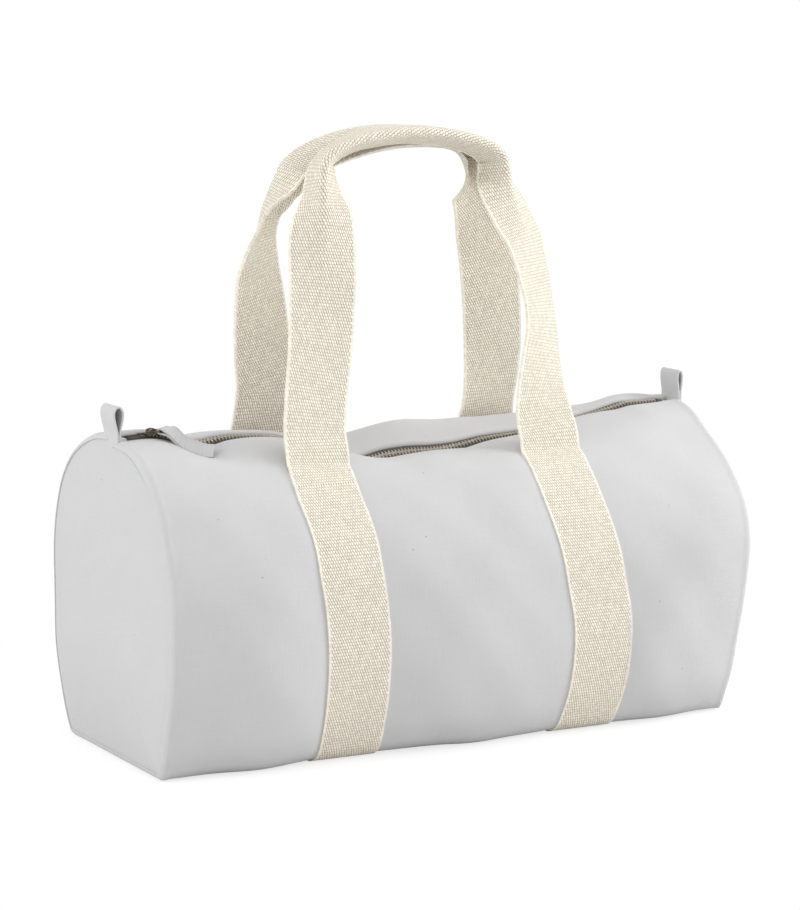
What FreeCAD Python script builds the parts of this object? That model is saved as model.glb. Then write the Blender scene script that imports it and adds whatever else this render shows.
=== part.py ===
import FreeCAD, Part
import math
import os

from FreeCAD import Matrix, Placement, Vector

# A canvas barrel bag with two webbing straps that run on as carrying handles, and a metal zip
# along its top. X runs along the barrel, the front faces -Y, and Z is up from the floor.
# All lengths are millimetres and all angles are degrees.

# Barrel
barrel_length = 485.0
barrel_height = 240.0
barrel_radius = 113.0
straight_side = 17.0
base_half_width = 84.0
base_corner_radius = 18.0
canvas_thickness = 1.2
sewn_clearance = 0.3
seam_allowance = 10.0
binding_thickness = 2.0
end_rim = 14.0
mouth_angle = 26.0
front_swell = 9.0
back_swell = 8.0
facet_depth = 0.18

# Webbing straps and handles
webbing_width = 50.8
webbing_thickness = 2.2
strap_spacing = 208.0
handle_setback = 58.0
front_handle_rise = 209.0
back_handle_rise = 218.0
grip_fold_angle = 74.0
grip_clearance = 2.5
stitch_clearance = 0.4

# Zip
tape_width = 15.0
tape_thickness = 0.8
tape_edge_gap = 3.0
tooth_pitch = 2.8
tooth_thickness = 1.0
tooth_height = 2.4
tooth_reach = 1.1
tooth_grip = 1.9
jaw_clearance = 0.1
stop_length = 3.6
stop_height = 3.0
stop_clearance = 0.5

# Slider
slider_inset = 31.5
slider_length = 11.0
slider_nose_splay = 1.4
slider_plate = 0.9
slider_flange = 0.7
slider_clearance = 0.3
slider_side_room = 0.7
divider_length = 3.4
crown_length = 7.2
crown_height = 3.6
crown_width = 2.4
crown_wall = 1.0

# Pull
ring_length = 10.0
ring_apex_width = 10.2
ring_leg_width = 1.6
ring_leg_thickness = 1.3
ring_bar_radius = 0.75
pull_length = 41.0
pull_width = 15.0
pull_turn = 45.0
pull_clearance = 0.6

# End loops
loop_width = 29.0
loop_height = 26.0
loop_radius = 4.6
loop_neck_room = 1.5

# Sizes that follow from those above
half_length = barrel_length / 2
strap_inner = sewn_clearance
strap_outer = sewn_clearance + webbing_thickness
base_level = strap_outer
barrel_centre = barrel_height - barrel_radius
straight_low = barrel_centre - straight_side
crease_level = barrel_centre - straight_side / 2
bow_rise = straight_low - base_level
bow_depth = barrel_radius - base_half_width
bow_radius = (bow_depth**2 + bow_rise**2) / (2 * bow_depth)
corner_rise = bow_rise - base_corner_radius
corner_reach = math.sqrt((bow_radius - base_corner_radius) ** 2 - corner_rise**2)
corner_centre = barrel_radius - bow_radius + corner_reach
bow_angle = math.degrees(math.atan2(corner_rise, corner_reach))

tape_outer = -(canvas_thickness + sewn_clearance)
tape_inner = tape_outer - tape_thickness
zip_level = barrel_height + (tape_outer + tape_inner) / 2
chain_half_width = tape_edge_gap / 2 + tooth_grip
slider_channel = tooth_height + 2 * slider_clearance
slider_slot = tape_thickness + 3 * slider_clearance
channel_half_width = chain_half_width + slider_clearance
slider_tail_width = 2 * (channel_half_width + slider_flange)
slider_nose_width = slider_tail_width + slider_nose_splay
slider_half_height = slider_channel / 2 + slider_plate
zip_half_mouth = slider_nose_width / 2 + slider_side_room
slider_place = -half_length + slider_inset
mouth_inset = end_rim + sewn_clearance
mouth_half = half_length - mouth_inset
strap_near = strap_spacing / 2 - webbing_width / 2
strap_far = strap_spacing / 2 + webbing_width / 2
tape_end_room = canvas_thickness + 2 * sewn_clearance + seam_allowance
bottom_stop_place = half_length - tape_end_room - stop_length - stop_clearance

# The section is drawn as these runs, and pieces end on some of them
run_names = ["front_top", "front_side", "front_bow", "front_corner", "base"]
run_names += ["back_corner", "back_bow", "back_side", "back_top"]
run_count = len(run_names)
front_top_run = run_names.index("front_top")
base_run = run_names.index("base")
back_side_run = run_names.index("back_side")
back_top_run = run_names.index("back_top")


def run(number):
    """One run of the section, counted from the top middle down the front, under and up the back.

    An arc is its centre, radius and two angles from +Y. A line is its two ends and outward normal.
    """
    bow_centre = barrel_radius - bow_radius
    corner_level = base_level + base_corner_radius
    runs = [
        ("arc", (0, barrel_centre), barrel_radius, 90, 180),
        ("line", (-barrel_radius, barrel_centre), (-barrel_radius, straight_low), (-1, 0)),
        ("arc", (-bow_centre, straight_low), bow_radius, 180, 180 + bow_angle),
        ("arc", (-corner_centre, corner_level), base_corner_radius, 180 + bow_angle, 270),
        ("line", (-corner_centre, base_level), (corner_centre, base_level), (0, -1)),
        ("arc", (corner_centre, corner_level), base_corner_radius, 270, 360 - bow_angle),
        ("arc", (bow_centre, straight_low), bow_radius, 360 - bow_angle, 360),
        ("line", (barrel_radius, straight_low), (barrel_radius, barrel_centre), (1, 0)),
        ("arc", (0, barrel_centre), barrel_radius, 0, 90),
    ]
    return runs[number]


def place(number, share, offset):
    """A point on a run of the section, moved out from the canvas's outer face by the offset."""
    kind, first, second, third = run(number)[:4]
    if kind == "line":
        y = first[0] + (second[0] - first[0]) * share + third[0] * offset
        z = first[1] + (second[1] - first[1]) * share + third[1] * offset
        return Vector(0, y, z)
    last = run(number)[4]
    angle = math.radians(third + (last - third) * share)
    radius = second + offset
    return Vector(0, first[0] + radius * math.cos(angle), first[1] + radius * math.sin(angle))


def prism(points, height_vector):
    """A closed polygon swept along a vector."""
    wire = Part.makePolygon([Vector(*point) for point in points + points[:1]])
    return Part.Face(wire).extrude(Vector(*height_vector))


def mirrored_in_y(shape):
    return shape.mirror(Vector(0, 0, 0), Vector(0, 1, 0))


def mirrored_in_x(shape):
    return shape.mirror(Vector(0, 0, 0), Vector(1, 0, 0))


def save(node, shape):
    shape.exportStep("parts/" + node + ".step")


def flat_face(points):
    return Part.Face(Part.makePolygon(points + points[:1]))


def faceted_loft(sections, turned_from):
    """A solid through sections of equal corner counts, with each side laid in two flat facets.

    From the corner number turned_from on, the facets meet on the other diagonal.
    """
    faces = [flat_face(sections[0]), flat_face(sections[-1])]
    for lower, upper in zip(sections, sections[1:]):
        for corner in range(len(lower)):
            following = (corner + 1) % len(lower)
            around = [lower[corner], lower[following], upper[following], upper[corner]]
            if corner >= turned_from:
                around = around[1:] + around[:1]
            faces.append(flat_face(around[:3]))
            faces.append(flat_face([around[0], around[2], around[3]]))
    shell = Part.makeShell(faces)
    shell.sewShape()
    solid = Part.makeSolid(shell)
    if solid.Volume < 0:
        solid.reverse()
    return solid


# Places along the section that several pieces share
zip_share = math.degrees(math.asin(zip_half_mouth / barrel_radius)) / 90
stitch_share = zip_share + math.degrees(handle_setback / barrel_radius) / 90
crease_share = (crease_level - straight_low) / straight_side
crease_gap = strap_outer * math.tan(math.radians(mouth_angle / 2)) + sewn_clearance
crease_gap_share = crease_gap / straight_side
canvas_gap_share = sewn_clearance / 2 / straight_side
front_zip_edge = (front_top_run, zip_share)
front_stitch = (front_top_run, stitch_share)
back_crease_below = (back_side_run, crease_share - canvas_gap_share)
back_crease_above = (back_side_run, crease_share + canvas_gap_share)
back_stitch = (back_top_run, 1 - stitch_share)
back_zip_edge = (back_top_run, 1 - zip_share)


# Filled canvas: it swells in the three bays beside and between the straps. Each station is a place
# along the barrel with its share of the swell.
bay_middle = (strap_far + mouth_half) / 2
bay_quarter = (mouth_half - strap_far) / 4
station_shares = [
    (-half_length, 0.00),
    (-mouth_half, 0.00),
    (-bay_middle - bay_quarter, 0.75),
    (-bay_middle, 1.00),
    (-bay_middle + bay_quarter, 0.75),
    (-strap_far, 0.00),
    (-strap_near, 0.00),
    (-strap_near / 2, 0.75),
    (0, 1.00),
    (strap_near / 2, 0.75),
    (strap_near, 0.00),
    (strap_far, 0.00),
    (bay_middle - bay_quarter, 0.75),
    (bay_middle, 1.00),
    (bay_middle + bay_quarter, 0.75),
    (mouth_half, 0.00),
    (half_length, 0.00),
]

# The swell by height: shares of the rise from the base in front, and behind of the rise to the
# crease and from there to the top, so that the crease stays straight
front_swell_shares = [
    (0.00, 0.00), (0.03, 0.45), (0.08, 0.88), (0.22, 1.00),
    (0.41, 0.85), (0.62, 0.60), (0.85, 0.30), (1.00, 0.00),
]
back_low_swell_shares = [
    (0.00, 0.00), (0.06, 0.45), (0.17, 0.88), (0.50, 1.00), (0.82, 0.45), (1.00, 0.00),
]
back_high_swell_shares = [(0.00, 0.00), (0.18, 0.35), (0.46, 0.75), (0.80, 0.40), (1.00, 0.00)]


def between(rows, at):
    """The second column of a table at a place in its first one, straight between the rows."""
    for lower, upper in zip(rows, rows[1:]):
        if at <= upper[0]:
            share = max(at - lower[0], 0) / (upper[0] - lower[0])
            return lower[1] + (upper[1] - lower[1]) * share
    return rows[-1][1]


def swell(number, level):
    """How far the fully swollen canvas stands out of the plain section at a level of a run."""
    if number <= base_run:
        rise_share = (level - base_level) / (barrel_height - base_level)
        return front_swell * between(front_swell_shares, rise_share)
    if level < crease_level:
        rise_share = (level - base_level) / (crease_level - base_level)
        return back_swell * between(back_low_swell_shares, rise_share)
    rise_share = (level - crease_level) / (barrel_height - crease_level)
    return back_swell * between(back_high_swell_shares, rise_share)


def cloth_place(stop, offset, station):
    """A point of the filled canvas on a (run, share) of the section at a station."""
    x, swell_share = station
    level = place(*stop, 0).z
    point = place(*stop, offset + swell(stop[0], level) * swell_share)
    return Vector(x, point.y, point.z)


def strip_count(number):
    """How many flat strips a run is laid in, so that none lies deeper than the facet depth."""
    if run(number)[0] == "line":
        return 1
    radius, first_angle, last_angle = run(number)[2:]
    strip_angle = 2 * math.degrees(math.acos(1 - facet_depth / radius))
    return math.ceil((last_angle - first_angle) / strip_angle)


def section_stops(start, end):
    """The (run, share) corners along the section from one to a later one."""
    stops = []
    for number in range(start[0], end[0] + 1):
        low = start[1] if number == start[0] else 0
        high = end[1] if number == end[0] else 1
        steps = strip_count(number)
        stops += [(number, low + (high - low) * step / steps) for step in range(steps)]
    return stops + [end]


def filled_sheet(stops, inner, outer, stations):
    """A sheet through the stations between two offsets from the canvas's outer face."""
    sections = []
    for station in stations:
        outside = [cloth_place(stop, outer, station) for stop in stops]
        inside = [cloth_place(stop, inner, station) for stop in stops]
        sections.append(outside + inside[::-1])
    return faceted_loft(sections, len(stops))


def outline(offset):
    """The whole closed plain section at an offset."""
    stops = section_stops((0, 0), (run_count - 1, 1))
    return Part.makePolygon([place(*stop, offset) for stop in stops])


# Canvas body
main_stops = section_stops(front_zip_edge, back_crease_below)
save("main_panel", filled_sheet(main_stops, -canvas_thickness, 0, station_shares))

# The upper back swings with the mouth, but for a rim beside each end seam, which holds still
back_stops = section_stops(back_crease_above, back_zip_edge)
rim_stations = [(-half_length, 0), (-half_length + end_rim, 0)]
left_back_rim = filled_sheet(back_stops, -canvas_thickness, 0, rim_stations)
save("left_back_rim", left_back_rim)
save("right_back_rim", mirrored_in_x(left_back_rim))
back_stations = station_shares[1:-1]
save("back_mouth_panel", filled_sheet(back_stops, -canvas_thickness, 0, back_stations))

end_offset = -(canvas_thickness + sewn_clearance)
left_end_panel = Part.Face(outline(end_offset)).extrude(Vector(canvas_thickness, 0, 0))
left_end_panel.translate(Vector(-half_length, 0, 0))
save("left_end_panel", left_end_panel)
save("right_end_panel", mirrored_in_x(left_end_panel))

binding_ring = Part.Face(outline(end_offset)).cut(
    Part.Face(outline(end_offset - binding_thickness))
)
left_seam_binding = binding_ring.extrude(Vector(seam_allowance, 0, 0))
left_seam_binding.translate(Vector(-half_length + canvas_thickness + sewn_clearance, 0, 0))
left_seam_binding = left_seam_binding.Solids[0]
save("left_seam_binding", left_seam_binding)
save("right_seam_binding", mirrored_in_x(left_seam_binding))


# Webbing straps sewn round the body, parted at the back where the mouth folds open
strap_crease_below = (back_side_run, crease_share - crease_gap_share)
strap_crease_above = (back_side_run, crease_share + crease_gap_share)
strap_stations = [(-strap_far, 0), (-strap_near, 0)]
body_strap_stops = section_stops(front_stitch, strap_crease_below)
left_body_strap = filled_sheet(body_strap_stops, strap_inner, strap_outer, strap_stations)
save("left_body_strap", left_body_strap)
save("right_body_strap", mirrored_in_x(left_body_strap))

back_strap_stops = section_stops(strap_crease_above, back_stitch)
back_left_strap = filled_sheet(back_strap_stops, strap_inner, strap_outer, strap_stations)
save("back_left_strap", back_left_strap)
save("back_right_strap", mirrored_in_x(back_left_strap))


# Handles: the webbing stands up from its stitch line, folds along its middle towards the grip,
# and bends over flatwise. Each row is a share of the rise, of the way in from the strap to the
# middle, of the lean towards the zip, and of the fold.
handle_shares = [
    (0.000, 0.000, 0.000, 0.00),
    (0.120, 0.025, 0.100, 0.00),
    (0.320, 0.080, 0.330, 0.00),
    (0.520, 0.130, 0.570, 0.00),
    (0.680, 0.175, 0.760, 0.05),
    (0.770, 0.210, 0.860, 0.25),
    (0.840, 0.245, 0.930, 0.60),
    (0.895, 0.290, 0.980, 0.88),
    (0.935, 0.360, 1.000, 1.00),
    (0.962, 0.450, 1.000, 1.00),
    (0.985, 0.600, 1.000, 1.00),
    (0.997, 0.800, 1.000, 1.00),
    (1.000, 1.000, 1.000, 1.00),
]
grip_depth = webbing_width / 2 * math.sin(math.radians(grip_fold_angle))
grip_setback = grip_depth + webbing_thickness / 2 + grip_clearance
stitch_foot_share = stitch_share - math.degrees(
    (webbing_thickness / 2 + stitch_clearance) / barrel_radius
) / 90
handle_foot = place(front_top_run, stitch_foot_share, (strap_inner + strap_outer) / 2)


def handle_path(rise):
    """Points along the middle of the webbing with the fold share at each, left foot to right."""
    top = barrel_height + rise
    half = []
    for rise_share, inset_share, lean_share, fold_share in handle_shares:
        x = -strap_spacing / 2 * (1 - inset_share)
        y = handle_foot.y + (-grip_setback - handle_foot.y) * lean_share
        z = handle_foot.z + (top - handle_foot.z) * rise_share
        half.append((Vector(x, y, z), fold_share))
    other = [(Vector(-point.x, point.y, point.z), share) for point, share in half[-2::-1]]
    return half + other


def webbing_section(point, along, fold):
    """The webbing cut square to its length, its two halves folded back by an angle."""
    inward = Vector(0, 1, 0) - along * along.y
    inward.normalize()
    across = along.cross(inward)
    half_width = webbing_width / 2
    half_thickness = webbing_thickness / 2
    cosine = math.cos(math.radians(fold))
    sine = math.sin(math.radians(fold))
    tip_across = half_width * cosine
    tip_inward = half_width * sine
    corners = [
        (0, -half_thickness / cosine),
        (tip_across + half_thickness * sine, tip_inward - half_thickness * cosine),
        (tip_across - half_thickness * sine, tip_inward + half_thickness * cosine),
        (0, half_thickness / cosine),
        (-tip_across + half_thickness * sine, tip_inward + half_thickness * cosine),
        (-tip_across - half_thickness * sine, tip_inward - half_thickness * cosine),
    ]
    return [point + across * a + inward * b for a, b in corners]


def handle(rise):
    path = handle_path(rise)
    sections = []
    for number, (point, fold_share) in enumerate(path):
        before = path[max(number - 1, 0)][0]
        after = path[min(number + 1, len(path) - 1)][0]
        along = after - before
        if number in (0, len(path) - 1):
            along.x = 0
        along.normalize()
        sections.append(webbing_section(point, along, grip_fold_angle * fold_share))
    return faceted_loft(sections, len(sections[0]))


save("front_handle", handle(front_handle_rise))
save("back_handle", mirrored_in_y(handle(back_handle_rise)))


# Zip tapes lie under the folded edges of the canvas and end short of the seam bindings
tape_half = half_length - tape_end_room
tape_edge_share = math.degrees(math.asin(tape_edge_gap / 2 / barrel_radius)) / 90
tape_far_share = tape_edge_share + math.degrees(tape_width / barrel_radius) / 90
tape_shares = [tape_edge_share, zip_share, tape_far_share]
tape_stations = [(-tape_half, 0), (tape_half, 0)]
front_tape_stops = [(front_top_run, share) for share in tape_shares]
save("front_zip_tape", filled_sheet(front_tape_stops, tape_inner, tape_outer, tape_stations))
back_tape_stops = [(back_top_run, 1 - share) for share in tape_shares[::-1]]
save("back_zip_tape", filled_sheet(back_tape_stops, tape_inner, tape_outer, tape_stations))


def tooth_shape():
    """One tooth: a jaw on top of the front tape and a head hooked down past the tape's edge."""
    jaw = tape_thickness / 2 + jaw_clearance
    neck = -tape_edge_gap / 2 + jaw_clearance
    back = -tape_edge_gap / 2 - tooth_grip
    half = tooth_height / 2
    points = [
        (0, back, jaw),
        (0, neck, jaw),
        (0, neck, -half),
        (0, tooth_reach, -half),
        (0, tooth_reach, half),
        (0, back, half),
    ]
    piece = prism(points, (tooth_thickness, 0, 0))
    piece.translate(Vector(0, 0, zip_level))
    return piece


def clamp(length, height, reach, grip):
    """A metal stop closed over both sides of the front tape's edge, from x = 0."""
    jaw = tape_thickness / 2 + jaw_clearance
    slot_end = -tape_edge_gap / 2 + jaw_clearance
    back = -tape_edge_gap / 2 - grip
    half = height / 2
    points = [
        (0, back, jaw),
        (0, slot_end, jaw),
        (0, slot_end, -jaw),
        (0, back, -jaw),
        (0, back, -half),
        (0, reach, -half),
        (0, reach, half),
        (0, back, half),
    ]
    piece = prism(points, (length, 0, 0))
    piece.translate(Vector(0, 0, zip_level))
    return piece


# Teeth: one row on each tape, set half a pitch apart so that they lock past the middle
divider_end = slider_place - slider_length / 2 + divider_length
teeth_start = divider_end + slider_clearance
tooth_count = int((bottom_stop_place - stop_clearance - teeth_start) / tooth_pitch)


def tooth_row(start):
    teeth = []
    for number in range(tooth_count):
        tooth = tooth_shape()
        tooth.translate(Vector(start + number * tooth_pitch, 0, 0))
        teeth.append(tooth)
    return Part.makeCompound(teeth)


save("front_zip_teeth", tooth_row(teeth_start))
save("back_zip_teeth", mirrored_in_y(tooth_row(teeth_start + tooth_pitch / 2)))


# Stops: one on each tape before the slider's nose, and one over both tapes at the far end
top_stop_place = slider_place - slider_length / 2 - stop_clearance - stop_length
front_top_stop = clamp(stop_length, stop_height, -tape_edge_gap / 4, tooth_grip)
front_top_stop.translate(Vector(top_stop_place, 0, 0))
save("front_top_stop", front_top_stop)
save("back_top_stop", mirrored_in_y(front_top_stop))

stop_half = clamp(stop_length, stop_height, 0, tooth_grip)
stop_half.translate(Vector(bottom_stop_place, 0, 0))
bottom_stop = stop_half.fuse(mirrored_in_y(stop_half)).removeSplitter()
save("bottom_stop", bottom_stop)


# Slider: two plates joined at the nose by the divider, with flanges that leave a slot for each
# tape, and a crown on top. It is drawn about its own middle, nose towards -X.
nose_bevel_share = 0.12
nose_front_share = 0.64
shoulder_share = 0.10


def slider_shape():
    nose = -slider_length / 2
    tail = slider_length / 2
    bevel = nose + slider_length * nose_bevel_share
    shoulder = slider_length * shoulder_share
    wide = slider_nose_width / 2
    narrow = slider_tail_width / 2
    front = wide * nose_front_share
    side = [(nose, front), (bevel, wide), (shoulder, wide), (tail, narrow)]
    floor = -slider_half_height
    points = [(x, y, floor) for x, y in side] + [(x, -y, floor) for x, y in side[::-1]]
    body = prism(points, (0, 0, 2 * slider_half_height))

    channel_nose = wide - slider_flange
    channel_tail = channel_half_width
    channel_floor = -slider_channel / 2
    channel = [
        (nose - slider_length, channel_nose, channel_floor),
        (shoulder, channel_nose, channel_floor),
        (tail, channel_tail, channel_floor),
        (tail + slider_length, channel_tail, channel_floor),
        (tail + slider_length, -channel_tail, channel_floor),
        (tail, -channel_tail, channel_floor),
        (shoulder, -channel_nose, channel_floor),
        (nose - slider_length, -channel_nose, channel_floor),
    ]
    body = body.cut(prism(channel, (0, 0, slider_channel)))
    slot_size = 2 * slider_length
    slot_corner = Vector(-slot_size / 2, -slot_size / 2, -slider_slot / 2)
    body = body.cut(Part.makeBox(slot_size, slot_size, slider_slot, slot_corner))

    divider_tip_share = 0.25
    divider_half = tape_edge_gap / 2 - slider_clearance
    divider_end_x = nose + divider_length
    divider = [
        (nose + slider_flange, divider_half, channel_floor),
        (divider_end_x, divider_half * divider_tip_share, channel_floor),
        (divider_end_x, -divider_half * divider_tip_share, channel_floor),
        (nose + slider_flange, -divider_half, channel_floor),
    ]
    body = body.fuse(prism(divider, (0, 0, slider_channel)))
    return body.fuse(crown()).removeSplitter()


def crown():
    """The bridge on the slider's top plate that the ring hangs on."""
    half = crown_length / 2
    foot = slider_half_height
    top = foot + crown_height
    inner = half - crown_wall
    ceiling = top - crown_wall
    outer_arch = Part.Arc(Vector(-half, 0, ceiling), Vector(0, 0, top), Vector(half, 0, ceiling))
    lines = [
        (Vector(half, 0, ceiling), Vector(half, 0, foot)),
        (Vector(half, 0, foot), Vector(inner, 0, foot)),
        (Vector(inner, 0, foot), Vector(inner, 0, ceiling - crown_wall)),
        (Vector(-inner, 0, ceiling - crown_wall), Vector(-inner, 0, foot)),
        (Vector(-inner, 0, foot), Vector(-half, 0, foot)),
        (Vector(-half, 0, foot), Vector(-half, 0, ceiling)),
    ]
    inner_arch = Part.Arc(lines[2][1], Vector(0, 0, ceiling), lines[3][0])
    edges = [outer_arch.toShape(), inner_arch.toShape()]
    edges += [Part.LineSegment(*ends).toShape() for ends in lines]
    face = Part.Face(Part.Wire(Part.__sortEdges__(edges)))
    bridge = face.extrude(Vector(0, crown_width, 0))
    bridge.translate(Vector(0, -crown_width / 2, 0))
    return bridge


zip_slider = slider_shape()
zip_slider.translate(Vector(slider_place, 0, zip_level))
save("zip_slider", zip_slider)


# Pull: a metal ring on the crown, and a folded strip of canvas on the ring's far bar. Both are
# drawn along their own X with their width along Y, then laid over the front edge of the mouth.
bar_room = ring_bar_radius + slider_clearance
eye_radius = bar_room + canvas_thickness
pull_thickness = 2 * canvas_thickness
crown_window = crown_height - crown_wall
pivot_level = zip_level + slider_half_height + crown_window / 2
bar_level = barrel_height + pull_clearance + eye_radius
ring_tilt = math.asin((bar_level - pivot_level) / ring_length)


def laid(shape, pivot, tilt):
    """Turn a flat piece towards the front, tip it up by an angle and set it on its pivot."""
    turn = math.radians(pull_turn)
    along = Vector(math.cos(turn) * math.cos(tilt), -math.sin(turn) * math.cos(tilt), math.sin(tilt))
    across = Vector(math.sin(turn), math.cos(turn), 0)
    upward = along.cross(across)
    frame = Matrix(
        along.x, across.x, upward.x, pivot.x,
        along.y, across.y, upward.y, pivot.y,
        along.z, across.z, upward.z, pivot.z,
        0, 0, 0, 1,
    )
    moved = shape.copy()
    moved.Placement = Placement(frame)
    return moved


def ring_shape():
    far_half = pull_width / 2 + slider_clearance + ring_leg_width
    apex_half = ring_apex_width / 2
    bend = ring_length - eye_radius - slider_clearance
    floor = -ring_leg_thickness / 2
    leg = [
        (0, apex_half, floor),
        (bend, far_half, floor),
        (ring_length, far_half, floor),
        (ring_length, far_half - ring_leg_width, floor),
        (bend, far_half - ring_leg_width, floor),
        (0, apex_half - ring_leg_width, floor),
    ]
    shape = prism(leg, (0, 0, ring_leg_thickness))
    shape = shape.fuse(mirrored_in_y(shape))
    for x, half in ((0, apex_half), (ring_length, far_half)):
        bar = Part.makeCylinder(ring_bar_radius, 2 * half, Vector(x, -half, 0), Vector(0, 1, 0))
        shape = shape.fuse(bar)
    return shape


def pull_shape():
    half = pull_width / 2
    side = Vector(0, -half, 0)
    along_y = Vector(0, 1, 0)
    strip_corner = Vector(0, -half, -pull_thickness / 2)
    strip = Part.makeBox(pull_length, pull_width, pull_thickness, strip_corner)
    eye = Part.makeCylinder(eye_radius, pull_width, side, along_y)
    return strip.fuse(eye).cut(Part.makeCylinder(bar_room, pull_width, side, along_y))


ring_pivot = Vector(slider_place, 0, pivot_level)
pull_ring = laid(ring_shape(), ring_pivot, ring_tilt)
save("pull_ring", pull_ring)

plan_reach = ring_length * math.cos(ring_tilt)
turn = math.radians(pull_turn)
pull_pivot = ring_pivot + Vector(plan_reach * math.cos(turn), -plan_reach * math.sin(turn), 0)
pull_pivot.z = bar_level
zip_side_y = abs(pull_pivot.y) - pull_width / 2 * math.cos(turn)
pivot_reach = math.hypot(zip_side_y, bar_level - barrel_centre)
touch_radius = barrel_radius + pull_clearance + pull_thickness / 2
touch_angle = math.asin(zip_side_y / pivot_reach) + math.acos(touch_radius / pivot_reach)
pull_tilt = math.atan(math.tan(touch_angle) * math.sin(turn))
canvas_pull = laid(pull_shape(), pull_pivot, -pull_tilt)
save("canvas_pull", canvas_pull)


# End loops: a canvas strip folded over into an eye, standing in the top of each end seam
def eye_wire(low, low_radius, high, high_radius):
    """Two round ends, one above the other, joined by the straight lines that touch both."""
    slope = math.asin((low_radius - high_radius) / (high - low))
    touch = Vector(math.cos(slope), 0, math.sin(slope))
    mirrored = Vector(-touch.x, 0, touch.z)
    low_centre = Vector(0, 0, low)
    high_centre = Vector(0, 0, high)
    high_right = high_centre + touch * high_radius
    high_left = high_centre + mirrored * high_radius
    low_right = low_centre + touch * low_radius
    low_left = low_centre + mirrored * low_radius
    edges = [
        Part.LineSegment(low_right, high_right).toShape(),
        Part.Arc(high_right, Vector(0, 0, high + high_radius), high_left).toShape(),
        Part.LineSegment(high_left, low_left).toShape(),
        Part.Arc(low_left, Vector(0, 0, low - low_radius), low_right).toShape(),
    ]
    return Part.Wire(edges)


loop_neck_radius = canvas_thickness
loop_top = loop_height - loop_neck_radius - loop_radius
loop_inner_radius = loop_radius - canvas_thickness
eye_low_share = 0.35
loop_eye_low = loop_neck_radius + loop_neck_room
eye_low_radius = loop_neck_radius * eye_low_share
loop_outer = Part.Face(eye_wire(0, loop_neck_radius, loop_top, loop_radius))
loop_eye = Part.Face(eye_wire(loop_eye_low, eye_low_radius, loop_top, loop_inner_radius))
left_loop = loop_outer.cut(loop_eye).extrude(Vector(0, loop_width, 0))
loop_level = barrel_height + sewn_clearance + loop_neck_radius
left_loop.translate(Vector(-half_length + loop_neck_radius, -loop_width / 2, loop_level))
left_loop = left_loop.Solids[0]
save("left_loop", left_loop)
save("right_loop", mirrored_in_x(left_loop))
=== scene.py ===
import math
from functools import partial

import bpy
import numpy as np
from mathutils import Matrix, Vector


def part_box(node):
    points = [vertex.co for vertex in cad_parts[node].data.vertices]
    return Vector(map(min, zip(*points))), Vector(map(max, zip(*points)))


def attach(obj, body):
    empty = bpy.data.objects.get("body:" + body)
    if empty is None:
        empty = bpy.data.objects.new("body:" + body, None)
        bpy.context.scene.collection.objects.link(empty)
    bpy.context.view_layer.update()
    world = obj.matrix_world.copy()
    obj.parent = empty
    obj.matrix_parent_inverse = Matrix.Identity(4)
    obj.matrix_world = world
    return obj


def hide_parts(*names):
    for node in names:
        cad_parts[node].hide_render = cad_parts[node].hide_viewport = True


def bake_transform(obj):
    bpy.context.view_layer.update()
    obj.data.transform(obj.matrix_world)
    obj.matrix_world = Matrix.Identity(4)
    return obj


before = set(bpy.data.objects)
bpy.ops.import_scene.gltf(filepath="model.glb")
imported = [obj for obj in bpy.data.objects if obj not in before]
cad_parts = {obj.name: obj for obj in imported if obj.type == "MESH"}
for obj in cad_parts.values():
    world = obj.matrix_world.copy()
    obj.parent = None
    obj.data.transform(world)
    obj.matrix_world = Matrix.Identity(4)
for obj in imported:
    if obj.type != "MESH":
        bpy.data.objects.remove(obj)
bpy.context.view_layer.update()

# The barrel
# One length of pale grey cotton canvas wraps the barrel from the front edge of the zip, under the
# base and up the back. It is filled out softly: it swells in the bays between the webbing straps,
# lies flat under them, and sinks along the middle of the zip.
mm = 0.001
half_length = 242.5
barrel_radius = 113.0
barrel_centre = 127.0
straight_low = 110.0
base_level = 2.5
base_half_width = 84.0
soft_corner = 18.0
sharp_corner = 5.0
corner_sharpens_from = 175.0
crease_level = 118.5
strap_centre = 104.0
webbing_width = 50.8
strap_inner_edge = strap_centre - webbing_width / 2
strap_outer_edge = strap_centre + webbing_width / 2


def eased(share):
    """Zero up to 0, one from 1, and the smooth step 3t^2 - 2t^3 between."""
    share = np.clip(share, 0, 1)
    return share * share * (3 - 2 * share)


def through(places, values, at):
    """A smooth line through the values at the places: cubic pieces whose slope at each place is the
    slope between its two neighbours."""
    places = np.asarray(places, float)
    values = np.asarray(values, float)
    slopes = np.gradient(values, places)
    at = np.clip(at, places[0], places[-1])
    first = np.clip(np.searchsorted(places, at) - 1, 0, len(places) - 2)
    step = places[first + 1] - places[first]
    t = (at - places[first]) / step
    low_part = values[first] * (1 + 2 * t) * (1 - t) ** 2
    high_part = values[first + 1] * (3 - 2 * t) * t**2
    low_slope = slopes[first] * step * t * (1 - t) ** 2
    high_slope = slopes[first + 1] * step * t**2 * (1 - t)
    return low_part + high_part + low_slope - high_slope


def length_along(points):
    """The length run so far at each point of a row, in straight steps."""
    steps = np.linalg.norm(np.diff(points, axis=0), axis=1)
    return np.concatenate([[0], np.cumsum(steps)])


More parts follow.
